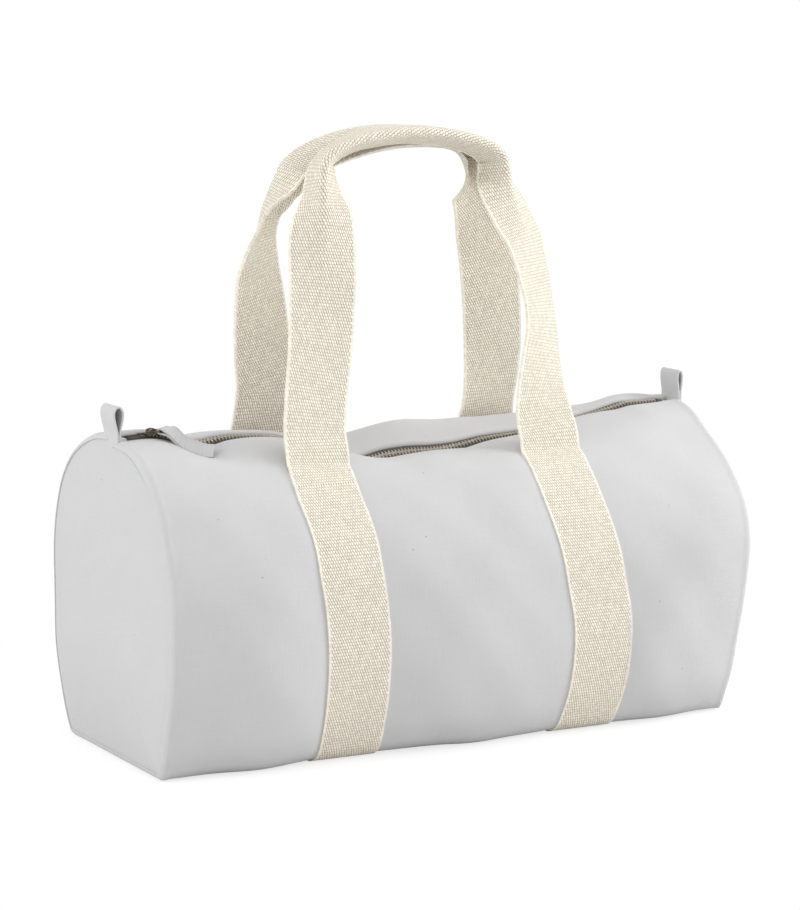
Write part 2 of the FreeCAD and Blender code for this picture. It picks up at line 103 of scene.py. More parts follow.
def half_section(corner):
    """Half of the barrel's section, from the top middle to the middle of the base: a quarter circle,
    a straight side, a bowed lower side that leans in, a corner arc and the flat base. The rows are
    the distance out from the middle, the height, the normal's angle and the length run so far."""
    fine = 240
    bow_rise = straight_low - base_level
    bow_depth = barrel_radius - base_half_width
    bow_radius = (bow_depth**2 + bow_rise**2) / (2 * bow_depth)
    corner_rise = bow_rise - corner
    corner_reach = math.sqrt((bow_radius - corner) ** 2 - corner_rise**2)
    corner_out = barrel_radius - bow_radius + corner_reach
    bow_angle = math.atan2(corner_rise, corner_reach)
    top = np.linspace(math.pi / 2, 0, fine)
    bow = np.linspace(0, -bow_angle, fine)
    turn = np.linspace(-bow_angle, -math.pi / 2, fine)
    flat = np.linspace(corner_out, 0, fine)
    out = np.concatenate([
        barrel_radius * np.cos(top),
        barrel_radius - bow_radius + bow_radius * np.cos(bow),
        corner_out + corner * np.cos(turn),
        flat,
    ])
    height = np.concatenate([
        barrel_centre + barrel_radius * np.sin(top),
        straight_low + bow_radius * np.sin(bow),
        base_level + corner + corner * np.sin(turn),
        np.full(fine, base_level),
    ])
    angle = np.concatenate([top, bow, turn, np.full(fine, -math.pi / 2)])
    return out, height, angle, length_along(np.stack([out, height], axis=1))


soft_section = half_section(soft_corner)
sharp_section = half_section(sharp_corner)
half_girth = soft_section[3][-1]
crease_run = float(np.interp(-crease_level, -soft_section[1], soft_section[3]))

# How far the canvas swells in each bay, as its two ends along the barrel and its depth in front and
# behind, and how that depth is shared out by height
bays = [
    (-half_length, -strap_outer_edge, 11.0, 7.0),
    (-strap_inner_edge, strap_inner_edge, 8.0, 7.0),
    (strap_outer_edge, half_length, 8.0, 7.0),
]
swell_heights = [2.5, 9.0, 22.0, 55.0, 100.0, 150.0, 205.0, 240.0]
front_swell_shares = [0.16, 0.50, 0.88, 1.00, 0.85, 0.60, 0.30, 0.0]
back_swell_heights = [2.5, 9.0, 22.0, 60.0, 98.0, 118.5, 140.0, 175.0, 215.0, 240.0]
back_swell_shares = [0.16, 0.50, 0.88, 1.00, 0.45, 0.0, 0.35, 0.75, 0.40, 0.0]

# How far the zip sinks along the barrel, and how far down each side the sinking reaches
sink_places = [-242, -203, -190, -178, -152, -132, -104, -76, -48, -36]
sink_places += [-16, 4, 23, 44, 68, 99, 150, 186, 197, 208, 242]
sink_depths = [0, 0, 3.5, 7, 4.9, 5.3, 8.5, 17, 28, 29.5]
sink_depths += [27, 25.7, 26, 24.3, 20.2, 17.8, 10, 3, 0.4, 0, 0]
front_sink_reach = 98.0
back_sink_reach = 62.0
back_reach_more = 30.0
back_reach_from = 30.0
back_reach_full = -50.0

# A soft dent under the pull: its middle along the barrel and down the front, its widths and depth
dent_place = -176.0
dent_run = 30.0
dent_length = 28.0
dent_width = 20.0
dent_depth = 6.0

# A soft hump behind the right end of the zip: its middle, its widths and its height
hump_place = 212.0
hump_run = 24.0
hump_length = 24.0
hump_width = 13.0
hump_height = 4.0

# How far the front edge of the mouth lies below the chain, along the barrel, and its way back up
dip_places = [-242, -226, -205, -180, -150, -60, 60, 104, 122, 150, 172, 205, 222, 242]
dip_depths = [4.0, 4.4, 4.6, 4.4, 2.4, 2.0, 3.0, 1.8, 0.4, 0.0, 0.8, 3.4, 3.2, 0.5]
dip_from = 1.6
dip_full = 5.6
dip_reach = 46.0

# How far the two edges of the mouth are tipped towards the front, in degrees along the barrel
tip_places = [-242, -208, -192, -165, -104, -58, -42, -25, 0, 25]
tip_places += [42, 66, 88, 110, 150, 170, 184, 196, 207, 242]
tip_angles = [0, 0, 3, 6, 6, 6, 10, 26, 29, 26]
tip_angles += [19, 11, 6, 2, 0, 4, 12, 8, 0, 0]
tip_full = 5.6
tip_reach = 30.0

# How far the canvas is drawn back near each end, by height: left front, left back, right front and
# right back. The mouth's edges and the middle of the base stay where they are.
end_pull_from = 120.0
mouth_reach = 8.0
pull_fade = 16.0
base_fade = 60.0
end_pull_heights = [2.5, 14.0, 33.0, 66.0, 97.0, 127.0, 147.0, 176.0, 204.0, 222.0, 237.0]
end_pulls = [
    [1.0, 3.0, 6.5, 7.0, 7.5, 6.5, 7.5, 7.5, 3.5, 3.0, 3.0],
    [1.0, 3.0, 4.0, 5.0, 2.0, 2.0, 3.0, 5.0, 8.0, 8.0, 5.0],
    [9.0, 10.0, 10.0, 11.0, 7.0, 2.0, 0.0, 2.0, 10.0, 15.0, 8.0],
    [-8.0, -9.0, -8.0, -6.0, -3.0, 0.0, 0.0, -2.0, -7.0, -9.0, -4.0],
]

# Slow waves that keep the cloth from lying as a perfect surface: depth, the turn along the barrel and
# round it per millimetre, and where each starts; then how far they stay from the zip and the base
cloth_waves = [
    (0.9, 0.043, 0.019, 0.4),
    (0.7, -0.031, 0.037, 2.1),
    (0.5, 0.071, -0.052, 4.0),
    (0.35, 0.105, 0.083, 1.2),
]
wave_zip_gap = 12.0
wave_base_gap = 60.0
wave_fade = 40.0
wave_crease_fade = 30.0

# How far each webbing strap leans along the barrel, by the length from the top middle round the
# section; the bays between the straps lean with them
strap_runs = [64, 80, 92, 105, 120, 140, 160, 185, 210, 240, 275, 300, 332]
strap_leans = {
    "front_left": [-3.5, -4.6, -5.6, -5.5, -3.5, -1.0, 0.4, 4.0, 6.3, 7.8, 9.2, 9.7, 8.0],
    "front_right": [-15.5, -15.6, -16.0, -15.3, -13.8, -10.0, -5.7, -1.0, 4.5, 7.3, 7.5, 5.5, 4.0],
    "back_left": [12.5, 11.4, 9.4, 6.6, 3.5, 0.6, 0.0, 0.0, 0.5, 2.0, 5.0, 7.0, 8.0],
    "back_right": [4.0, 3.6, 3.0, 2.1, 1.1, 0.2, 0.0, 0.0, 0.0, 1.0, 2.5, 3.5, 4.0],
}


def strap_lean(side_name, around):
    """The lean of one side's strap at a length round the section, front or back by its sign."""
    front_lean = through(strap_runs, strap_leans["front_" + side_name], np.abs(around))
    back_lean = through(strap_runs, strap_leans["back_" + side_name], np.abs(around))
    return np.where(around < 0, front_lean, back_lean)


def unleaned(x, around):
    """The place along the barrel with the straps' lean taken out: all of it at each strap, less and
    less towards the other strap and the nearer end."""
    end_gap = half_length - strap_centre
    by_left = np.minimum((x + half_length) / end_gap, (strap_centre - x) / (2 * strap_centre))
    by_right = np.minimum((half_length - x) / end_gap, (strap_centre + x) / (2 * strap_centre))
    left_part = strap_lean("left", around) * np.clip(by_left, 0, 1)
    right_part = strap_lean("right", around) * np.clip(by_right, 0, 1)
    return x - left_part - right_part


def bay_across(x, start, end):
    """Where x lies across a bay: 0 in its middle, -1 and 1 at its edges and past them."""
    return np.clip((2 * x - start - end) / (end - start), -1, 1)


def swell(x, side, height):
    """How far the canvas stands out past the plain section: in each bay 1 - u^2 from edge to edge,
    times the bay's depth and the share for that height."""
    front_share = through(swell_heights, front_swell_shares, height)
    back_share = through(back_swell_heights, back_swell_shares, height)
    total = np.zeros_like(x)
    for start, end, front_depth, back_depth in bays:
        depth = np.where(side < 0, front_depth * front_share, back_depth * back_share)
        total = total + (1 - bay_across(x, start, end) ** 2) * depth
    return total


def waves(x, around):
    """Slow waves in the cloth that fade away at the straps, the ends, the zip, the crease and the base."""
    total = np.zeros_like(x)
    for depth, along_turn, round_turn, start in cloth_waves:
        total = total + depth * np.sin(along_turn * x + round_turn * around + start)
    free = np.zeros_like(x)
    for start, end, *_ in bays:
        free = free + np.sqrt(1 - bay_across(x, start, end) ** 2)
    from_zip = eased((np.abs(around) - wave_zip_gap) / wave_fade)
    from_crease = eased(np.abs(around - crease_run) / wave_crease_fade)
    from_base = eased((half_girth - wave_base_gap - np.abs(around)) / wave_fade)
    return total * free * from_zip * from_crease * from_base


def bell(x, length, place, run, along, across):
    """A soft round rise: 1 at a place along the barrel and a length down its side, 0 far from it."""
    return np.exp(-(((x - place) / along) ** 2) - ((length - run) / across) ** 2)


def skin(x, around, lift):
    """A point on the filled barrel. x runs along it, around is the length from the top middle round
    the section, negative down the front and positive down the back, and lift is the height above the
    canvas's outer face. The section's corner sharpens towards the ends; then the bays swell along
    the normal and the ends are drawn back in y. In z the zip, the front edge of the mouth and a dent
    under the pull sink, a hump rises behind the right end, and the mouth's edges tip to the front."""
    x, around, lift = np.broadcast_arrays(
        np.asarray(x, float), np.asarray(around, float), np.asarray(lift, float)
    )
    side = np.where(around < 0, -1.0, 1.0)
    length = np.abs(around)
    sharp_length = length * sharp_section[3][-1] / half_girth
    sharp = eased((np.abs(x) - corner_sharpens_from) / (half_length - corner_sharpens_from))
    soft_rows = [np.interp(length, soft_section[3], row) for row in soft_section[:3]]
    sharp_rows = [np.interp(sharp_length, sharp_section[3], row) for row in sharp_section[:3]]
    out, height, angle = [a + (b - a) * sharp for a, b in zip(soft_rows, sharp_rows)]
    bay_place = unleaned(x, around)
    stand = swell(bay_place, side, height) + waves(bay_place, around) + lift
    y = side * (out + stand * np.cos(angle))
    z = height + stand * np.sin(angle)
    near_end = eased((np.abs(x) - end_pull_from) / (half_length - end_pull_from))
    corner_pulls = [through(end_pull_heights, pulls, height) for pulls in end_pulls]
    left_pull = np.where(side < 0, corner_pulls[0], corner_pulls[1])
    right_pull = np.where(side < 0, corner_pulls[2], corner_pulls[3])
    pull = np.where(x < 0, left_pull, right_pull) * near_end
    off_middle = np.clip((length - mouth_reach) / pull_fade, 0, 1)
    off_base = np.clip((half_girth - length) / base_fade, 0, 1)
    y = y + pull * off_middle * off_base
    back_more = back_reach_more * eased((x - back_reach_from) / (back_reach_full - back_reach_from))
    reach = np.where(side < 0, front_sink_reach, back_sink_reach + back_more)
    z = z - through(sink_places, sink_depths, x) * eased(1 - length / reach)
    at_edge = eased((length - dip_from) / (dip_full - dip_from)) * eased(1 - (length - dip_full) / dip_reach)
    dent = bell(x, length, dent_place, dent_run, dent_length, dent_width)
    z = z - np.where(side < 0, through(dip_places, dip_depths, x) * at_edge + dent_depth * dent, 0)
    hump = bell(x, length, hump_place, hump_run, hump_length, hump_width)
    z = z + np.where(side > 0, hump_height * hump * off_middle, 0)
    tip = side * np.minimum(length, tip_full) * eased(1 - (length - tip_full) / tip_reach)
    z = z + np.tan(np.radians(through(tip_places, tip_angles, x))) * tip
    return np.stack([x, y, z], axis=-1)


def new_object(name, data):
    """An object that holds the data, put into the scene at the origin."""
    thing = bpy.data.objects.new(name, data)
    bpy.context.scene.collection.objects.link(thing)
    return thing


def cloth_piece(
    name, grid, flat, outward, material, thickness=0.0, offset=-1.0,
    round_closed=False, rows_closed=False, middle_closed=False, crisp=False,
):
    """A piece from a grid of points, rows by columns by three in millimetres, with one four-sided
    face to a cell. flat gives each point's place on the flat cloth in metres, kept as the UV map.
    outward is +1 or -1 and turns the faces. A thickness is laid on the inner side. Where crisp, the
    cut edges are shaded apart from the faces."""
    rows, columns = grid.shape[:2]
    index = np.arange(rows * columns).reshape(rows, columns)
    if round_closed:
        index = np.concatenate([index, index[:, :1]], axis=1)
    if rows_closed:
        index = np.concatenate([index, index[:1]], axis=0)
    corners = [index[:-1, :-1], index[:-1, 1:], index[1:, 1:], index[1:, :-1]]
    if outward < 0:
        corners = corners[::-1]
    faces = np.stack(corners, axis=-1).reshape(-1, 4).tolist()
    if middle_closed:
        faces.append(index[-1, :-1].tolist()[:: 1 if outward > 0 else -1])
    mesh = bpy.data.meshes.new(name)
    mesh.from_pydata((grid.reshape(-1, 3) * mm).tolist(), [], faces)
    loops = np.zeros(len(mesh.loops), np.int32)
    mesh.loops.foreach_get("vertex_index", loops)
    layer = mesh.uv_layers.new(name="flat_cloth")
    layer.data.foreach_set("uv", flat.reshape(-1, 2)[loops].astype(np.float32).ravel())
    mesh.polygons.foreach_set("use_smooth", np.ones(len(faces), bool))
    mesh.materials.append(material)
    if crisp:
        sides = np.zeros(len(mesh.loops), np.int32)
        mesh.loops.foreach_get("edge_index", sides)
        cut = np.bincount(sides, minlength=len(mesh.edges)) == 1
        mesh.attributes.new("sharp_edge", "BOOLEAN", "EDGE").data.foreach_set("value", cut)
    piece = new_object(name, mesh)
    if thickness:
        solid = piece.modifiers.new("thickness", "SOLIDIFY")
        solid.thickness = thickness * mm
        solid.offset = offset
    return piece


def join_inputs(tree, node, given):
    """Sets a node's inputs, by number or name, to values, or links them to other nodes' sockets."""
    for socket, value in given.items():
        if isinstance(value, bpy.types.NodeSocket):
            tree.links.new(value, node.inputs[socket])
        else:
            node.inputs[socket].default_value = value


def add_node(tree, kind, given=None, **settings):
    """One shader node in a tree, with its inputs and settings."""
    node = tree.nodes.new("ShaderNode" + kind)
    for key, value in settings.items():
        setattr(node, key, value)
    join_inputs(tree, node, given or {})
    return node


def math_step(tree, kind, first, second=0.0):
    """The result of one arithmetic step on sockets or numbers."""
    return add_node(tree, "Math", {0: first, 1: second}, operation=kind).outputs[0]


def noise_of(tree, place, scale, detail):
    """Soft noise at a place, at a scale per metre."""
    return add_node(tree, "TexNoise", {0: place, 2: scale, 3: detail}).outputs[0]


def times(tree, first, second):
    """Two colours or vectors multiplied."""
    given = {0: first, 1: second}
    return add_node(tree, "VectorMath", given, operation="MULTIPLY").outputs[0]


def colour_between(tree, share, first, second):
    """The colour that passes from the first to the second as the share goes from 0 to 1."""
    given = {0: share, 6: first, 7: second}
    return add_node(tree, "Mix", given, data_type="RGBA").outputs[2]


def bumped(tree, height, strength, depth):
    """The normal lifted by a height, over a depth in metres."""
    given = {"Strength": strength, "Distance": depth, "Height": height}
    return add_node(tree, "Bump", given).outputs[0]


def new_material(name):
    """A material, its node tree and its main shader."""
    material = bpy.data.materials.new(name)
    material.use_nodes = True
    return material, material.node_tree, material.node_tree.nodes["Principled BSDF"]


def new_group(name, inputs, outputs):
    """An empty node group with named number or vector inputs and number outputs."""
    group = bpy.data.node_groups.new(name, "ShaderNodeTree")
    for label, kind, value in inputs:
        socket = group.interface.new_socket(label, in_out="INPUT", socket_type=kind)
        if value is not None:
            socket.default_value = value
    for label in outputs:
        group.interface.new_socket(label, in_out="OUTPUT", socket_type="NodeSocketFloat")
    return group, group.nodes.new("NodeGroupInput"), group.nodes.new("NodeGroupOutput")


yarn_thin = 1400.0
yarn_long = 60.0
cloud_scale = 24.0
cloud_shade = 0.06
weave_height = 0.35
seed_scale = 75.0
seed_size = 0.04
seed_rare = 0.72


def canvas_weave_group():
    """Plain-woven canvas on flat cloth measured in metres: fine crossing threads, thick and thin
    yarns along both directions, and a few dark flecks of seed. Height is for bump, Shade is about 1
    and multiplies the colour, and Fleck is 1 on a fleck."""
    group, given, made = new_group(
        "canvas weave",
        [
            ("Flat", "NodeSocketVector", None),
            ("Thread", "NodeSocketFloat", 0.0009),
            ("Slub", "NodeSocketFloat", 0.05),
        ],
        ["Height", "Shade", "Fleck"],
    )
    step = partial(math_step, group)
    flat = given.outputs["Flat"]
    apart = add_node(group, "SeparateXYZ", {0: flat}).outputs
    turn = step("DIVIDE", 2 * math.pi, given.outputs["Thread"])
    threads = [step("SINE", step("MULTIPLY", apart[k], turn)) for k in (0, 1)]
    weave = step("MULTIPLY", *threads)
    stretches = ((yarn_thin, yarn_long, 1.0), (yarn_long, yarn_thin, 1.0))
    yarns = [noise_of(group, times(group, flat, stretch), 1.0, detail=2.0) for stretch in stretches]
    yarn = step("SUBTRACT", step("ADD", *yarns), 1.0)
    cloud = step("SUBTRACT", noise_of(group, flat, cloud_scale, detail=3.0), 0.5)
    slubs = step("MULTIPLY", yarn, given.outputs["Slub"])
    shade = step("ADD", step("ADD", 1.0, slubs), step("MULTIPLY", cloud, cloud_shade))
    seeds = add_node(group, "TexVoronoi", {0: flat, 2: seed_scale}).outputs
    seed_draw = add_node(group, "SeparateColor", {0: seeds["Color"]}).outputs[0]
    small = step("LESS_THAN", seeds["Distance"], seed_size)
    chosen = step("GREATER_THAN", seed_draw, seed_rare)
    join_inputs(group, made, {
        "Height": step("ADD", step("MULTIPLY", weave, weave_height), yarn),
        "Shade": shade,
        "Fleck": step("MULTIPLY", small, chosen),
    })
    return group


canvas_weave = canvas_weave_group()
canvas_colour = (0.605, 0.605, 0.611, 1.0)
fleck_colour = (0.33, 0.30, 0.26, 1.0)


def canvas_material(name, colour, thread, slub, bump_depth):
    """Matt cotton: the weave group shades the colour, marks the flecks and lifts the threads."""
    material, tree, shader = new_material(name)
    flat = add_node(tree, "UVMap", uv_map="flat_cloth").outputs[0]
    given = {"Flat": flat, "Thread": thread, "Slub": slub}
    weave = add_node(tree, "Group", given, node_tree=canvas_weave).outputs
    shaded = times(tree, colour[:3], weave["Shade"])
    join_inputs(tree, shader, {
        "Base Color": colour_between(tree, weave["Fleck"], shaded, fleck_colour),
        "Normal": bumped(tree, weave["Height"], strength=0.35, depth=bump_depth),
        "Roughness": 0.92,
        "Specular IOR Level": 0.18,
        "Sheen Weight": 0.12,
        "Sheen Roughness": 0.6,
    })
    return material


grey_canvas = canvas_material("grey canvas", canvas_colour, thread=0.0009, slub=0.07, bump_depth=0.0004)

canvas_thickness = 1.2
seam_round = 2.8
seam_steps = np.array([0.0, 0.03, 0.12, 0.27, 0.48, 0.72, 1.0, 1.6])
seam_ridge = 0.7
ridge_inset = 3.4
ridge_width = 1.7
lip_edge = 6.6
lip_radius = 1.3
lip_under = 9.0
cloth_step = 3.0


def barrel_columns(start, end):
    """Places along the barrel, about a cloth step apart and closer where the seam turns in."""
    plain = np.linspace(start, end, int((end - start) / cloth_step) + 1)
    turn = half_length - seam_round * seam_steps
    keep = plain[np.abs(plain) < half_length - seam_round * 2]
    places = np.concatenate([keep, -turn, turn])
    places = places[(places >= start) & (places <= end)]
    return np.unique(np.concatenate([places, [start, end]]))


def seam_lift(x):
    """The canvas stands up in a low ridge beside each end seam and then turns in over the seam, a
    quarter circle down."""
    past = np.clip((np.abs(x) - half_length + seam_round) / seam_round, 0, 1)
    turn_in = seam_round * (1 - np.sqrt(1 - past**2))
    ridge = seam_ridge * np.exp(-(((np.abs(x) - half_length + ridge_inset) / ridge_width) ** 2))
    return ridge - turn_in


def lip_rows():
    """The folded edge of the canvas at the zip, as length round the section and lift: back under
    the cloth, then a half circle over to the outside."""
    turn = np.linspace(math.pi, 0, 9)
    round_part = lip_edge + lip_radius - lip_radius * np.sin(turn)
    lift_part = -lip_radius + lip_radius * np.cos(turn)
    under = np.linspace(lip_edge + lip_radius + lip_under, lip_edge + lip_radius, 4)[:-1]
    around = np.concatenate([under, round_part])
    lift = np.concatenate([np.full(len(under), -2 * lip_radius), lift_part])
    return around, lift


def canvas_panel(name, x, around, lift, outward):
    """A panel of the barrel over places along it and lengths round it, thick on its inner side."""
    across, length = np.meshgrid(x, around)
    raised = np.meshgrid(x, lift)[1] + seam_lift(across)
    flat = np.stack([across, length], axis=-1) * mm
    return cloth_piece(
        name, skin(across, length, raised), flat, outward, grey_canvas, canvas_thickness, crisp=True
    )


lip_around, lip_lift = lip_rows()
front_down = np.linspace(lip_edge + lip_radius, half_girth, int(half_girth / cloth_step))[1:]
back_up = np.linspace(half_girth, crease_run, int((half_girth - crease_run) / cloth_step))[1:]
body_around = np.concatenate([-lip_around, -front_down, back_up])
body_lift = np.concatenate([lip_lift, np.zeros(len(front_down) + len(back_up))])
body_canvas = canvas_panel(
    "body_canvas", barrel_columns(-half_length, half_length), body_around, body_lift, 1
)
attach(body_canvas, "bag")
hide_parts("main_panel")

# The upper back
# Above the crease the same canvas goes on to the back edge of the zip, in a left and a right half.
# On the bag it stays shut beside the end seams and swings out between them as the zip opens.
back_down = np.linspace(lip_edge + lip_radius, crease_run, int(crease_run / cloth_step))[1:]
back_around = np.concatenate([lip_around, back_down])
back_lift = np.concatenate([lip_lift, np.zeros(len(back_down))])


def halves(length):
    """The left and the right half of a length along the barrel: name, start, end and sign."""
    return ("left", -length, 0.0, -1), ("right", 0.0, length, 1)


def swing_with_back(piece):
    """The piece's place is baked into its points."""
    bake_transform(piece)


for side_name, start, end, sign in halves(half_length):
    columns = barrel_columns(start, end)
    back_half = canvas_panel(side_name + "_upper_back", columns, back_around, back_lift, -1)
    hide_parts(side_name + "_back_rim", "back_mouth_panel")
    swing_with_back(back_half)

# The end panels
# A flat-bottomed round of the same canvas is sewn into each end, seam allowance inside. The filling
# pushes it out a little, most below the middle.
side_signs = {"left": -1, "right": 1}
dome_heights = [0.0, 30.0, 75.0, 112.0, 150.0, 200.0, 240.0]
dome_depths = [4.0, 9.0, 12.0, 9.5, 9.5, 6.5, 2.5]
panel_tuck = 2.3
groove_more = 2.6
groove_middle = -62.0
groove_reach = 70.0
panel_inset = 1.3
panel_start = half_length - panel_inset
panel_rings = [1.0, 0.992, 0.975, 0.95, 0.91, 0.86, 0.79, 0.70, 0.60, 0.49, 0.37, 0.25, 0.13, 0.03]
panel_rings = np.array(panel_rings)
panel_middle = 112.0
dome_power = 0.7
seam_line = np.linspace(-half_girth, half_girth, 260)[:-1]


def end_panel(name, sign):
    """A round of canvas inside the seam line: each ring is the seam line drawn in towards the middle
    by its share r, and stands out by the depth for its height times (1 - r^2)^0.7. The seam is pulled
    in a little deeper at the top front."""
    groove = groove_more * eased(1 - np.abs(seam_line - groove_middle) / groove_reach)
    rim = skin(sign * half_length, seam_line, -panel_tuck - groove)
    middle = np.array([sign * panel_start, 0.0, panel_middle])
    grid = middle + (rim[None] - middle) * panel_rings[:, None, None]
    depth = through(dome_heights, dome_depths, grid[..., 2])
    stand = depth * (1 - panel_rings[:, None] ** 2) ** dome_power
    grid[..., 0] = sign * (panel_start + stand)
    flat = grid[..., 1:] * mm
    return cloth_piece(
        name, grid, flat, sign, grey_canvas, canvas_thickness, round_closed=True, middle_closed=True
    )


for side_name, sign in side_signs.items():
    panel = end_panel(side_name + "_end", sign)
    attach(panel, "bag")
    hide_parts(side_name + "_end_panel")

# The seam bindings
# Inside each end the raw edges of the seam are folded into a narrow strip of the same canvas, sewn
# flat against the barrel.
binding_from = 239.4
binding_width = 9.0
binding_middle = -3.3
binding_half = 1.0
binding_squareness = 0.4


def seam_binding(name, sign):
    """A flat strip with rounded edges that follows the seam line inside the barrel: its section is
    a rounded bar along x, carried round the whole section."""
    turn = np.linspace(0, 2 * math.pi, 17)[:-1]
    squared = np.sign(np.cos(turn)) * np.abs(np.cos(turn)) ** binding_squareness
    inward = binding_from - binding_width / 2 + binding_width / 2 * squared
    lift = binding_middle + binding_half * np.sin(turn)
    length, place = np.meshgrid(seam_line, sign * inward)
    raised = np.meshgrid(seam_line, lift)[1]
    flat = np.stack([place, length], axis=-1) * mm
    return cloth_piece(
        name, skin(place, length, raised), flat, sign, grey_canvas, round_closed=True, rows_closed=True
    )


for side_name, sign in side_signs.items():
    binding = seam_binding(side_name + "_binding", sign)
    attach(binding, "bag")
    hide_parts(side_name + "_seam_binding")

# The webbing straps
# Two lengths of ecru cotton webbing go round the barrel and are sewn down to the canvas. The coarse
# weave shows as staggered rows of small raised grains between plain edges, with painted shade in the
# gaps between the grains.
webbing_thickness = 2.2
webbing_middle = 1.4
webbing_step = 2.4
webbing_columns = np.linspace(-1, 1, 33)
grain_across = 0.0020
grain_along = 0.0024
selvedge = 0.0017
wander_scale = 260.0
wander_reach = 0.0006
grain_slant = 0.18
grain_half_wide = 0.46
grain_half_long = 0.62
edge_rib = 0.15
edge_level = 0.75
# How narrow the band of painted shade between the grains is kept
gap_shade_narrows = 2.2
grain_shades = (0.90, 1.05)
webbing_colour = (0.940, 0.895, 0.785, 1.0)
# Painted shade in the gaps between the grains
webbing_gap_shade_colour = (0.50, 0.41, 0.29, 1.0)


def webbing_weave_group():
    """Webbing on flat cloth measured in metres, u across and v along. The cloth is cut into rows one
    grain long, every second row moved half a grain across. In each cell a slanted oval dome is the
    raised grain. Height is the dome, Painted shade is 1 between grains, where the shade is painted,
    and Odd differs from grain to grain."""
    group, given, made = new_group(
        "webbing weave",
        [
            ("Flat", "NodeSocketVector", None),
            ("Across", "NodeSocketFloat", grain_across),
            ("Along", "NodeSocketFloat", grain_along),
            ("Half width", "NodeSocketFloat", webbing_width / 2 * mm),
            ("Selvedge", "NodeSocketFloat", selvedge),
        ],
        ["Height", "Painted shade", "Odd"],
    )
    step = partial(math_step, group)
    flat = given.outputs["Flat"]
    wander = step("SUBTRACT", noise_of(group, flat, wander_scale, detail=1.0), 0.5)
    wander = step("MULTIPLY", wander, wander_reach)
    apart = add_node(group, "SeparateXYZ", {0: flat}).outputs
    along = step("DIVIDE", step("ADD", apart[1], wander), given.outputs["Along"])
    row = step("FLOOR", along)
    along_cell = step("SUBTRACT", step("FRACT", along), 0.5)
    second = step("MULTIPLY", step("FLOORED_MODULO", row, 2.0), 0.5)
    across = step("DIVIDE", step("ADD", apart[0], wander), given.outputs["Across"])
    across = step("ADD", across, second)
    slanted = step("SUBTRACT", across, step("MULTIPLY", along_cell, grain_slant))
    column = step("FLOOR", slanted)
    across_cell = step("SUBTRACT", step("FRACT", slanted), 0.5)
    wide = step("POWER", step("DIVIDE", across_cell, grain_half_wide), 2.0)
    long = step("POWER", step("DIVIDE", along_cell, grain_half_long), 2.0)
    dome = step("SUBTRACT", 1.0, step("ADD", wide, long))
    dome = step("SQRT", step("MAXIMUM", dome, 0.0))
    ribs = step("SINE", step("MULTIPLY", along, 2 * math.pi))
    rib_given = {0: ribs, 1: edge_rib, 2: edge_level}
    rib_height = add_node(group, "Math", rib_given, operation="MULTIPLY_ADD").outputs[0]
    from_edge = step("SUBTRACT", given.outputs["Half width"], step("ABSOLUTE", apart[0]))
    inside = step("GREATER_THAN", from_edge, given.outputs["Selvedge"])
    height = add_node(group, "Mix", {0: inside, 2: rib_height, 3: dome}).outputs[0]
    cell = add_node(group, "CombineXYZ", {0: row, 1: column}).outputs[0]
    odd = add_node(group, "TexWhiteNoise", {0: cell}, noise_dimensions="2D").outputs[0]
    gap_shade = step("SUBTRACT", 1.0, height)
    join_inputs(group, made, {"Height": height, "Painted shade": gap_shade, "Odd": odd})
    return group


webbing_weave = webbing_weave_group()


def onto_span(tree, value, start=(0.0, 1.0), onto=(0.0, 1.0), **settings):
    """A value carried from one span onto another and held within it."""
    given = {0: value, 1: start[0], 2: start[1], 3: onto[0], 4: onto[1]}
    return add_node(tree, "MapRange", given, **settings).outputs[0]


def webbing_material(name):
    """Ecru cotton webbing: grains pale, gaps darker with painted shade, each grain a little different."""
    material, tree, shader = new_material(name)
    flat = add_node(tree, "UVMap", uv_map="flat_cloth").outputs[0]
    weave = add_node(tree, "Group", {0: flat}, node_tree=webbing_weave).outputs
    # The gaps between grains are darkened: painted shade
    deep_shade = math_step(tree, "POWER", weave["Painted shade"], gap_shade_narrows)
    coloured = colour_between(tree, deep_shade, webbing_colour, webbing_gap_shade_colour)
    uneven = onto_span(tree, weave["Odd"], onto=grain_shades)
    join_inputs(tree, shader, {
        "Base Color": times(tree, coloured, uneven),
        "Normal": bumped(tree, weave["Height"], strength=0.75, depth=0.0007),
        "Roughness": 0.85,
        "Specular IOR Level": 0.2,
        "Sheen Weight": 0.15,
    })
    return material


ecru_webbing = webbing_material("ecru webbing")

join_run = 92.0
low_join_run = 275.0
base_gap = 0.01


def strap_middle(side_name, around):
    """The strap's middle along the barrel, with its lean."""
    return side_signs[side_name] * strap_centre + strap_lean(side_name, around)


def flat_strip(across, run):
    """Each point's place on a flat strip in metres: across it, then along it."""
    return np.stack(np.meshgrid(across, run), axis=-1) * mm


def strap_piece(name, side_name, around):
    """Webbing laid on the barrel along lengths round it, its middle at the strap's own lift."""
    across = webbing_columns * webbing_width / 2
    place = strap_middle(side_name, around)[:, None] + across
    run = length_along(np.abs(around)[:, None])
    flat = flat_strip(across, run)
    grid = skin(place, around[:, None], webbing_middle)
    strap = cloth_piece(name, grid, flat, 1, ecru_webbing, webbing_thickness, offset=0.0, crisp=True)
    return strap


def run_places(start, end):
    """Lengths round the section from start to end, about a webbing step apart."""
    return np.linspace(start, end, int(abs(end - start) / webbing_step) + 1)


front_run = run_places(-join_run, -half_girth + base_gap)
front_run = np.concatenate([front_run, run_places(half_girth, low_join_run)[1:]])
for side_name in side_signs:
    strap = strap_piece(side_name + "_strap", side_name, front_run)
    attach(strap, "bag")
    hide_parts(side_name + "_body_strap")
    back_strap = strap_piece(side_name + "_back_strap", side_name, run_places(low_join_run, join_run))
    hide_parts(side_name + "_body_strap", "back_" + side_name + "_strap")
    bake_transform(back_strap)

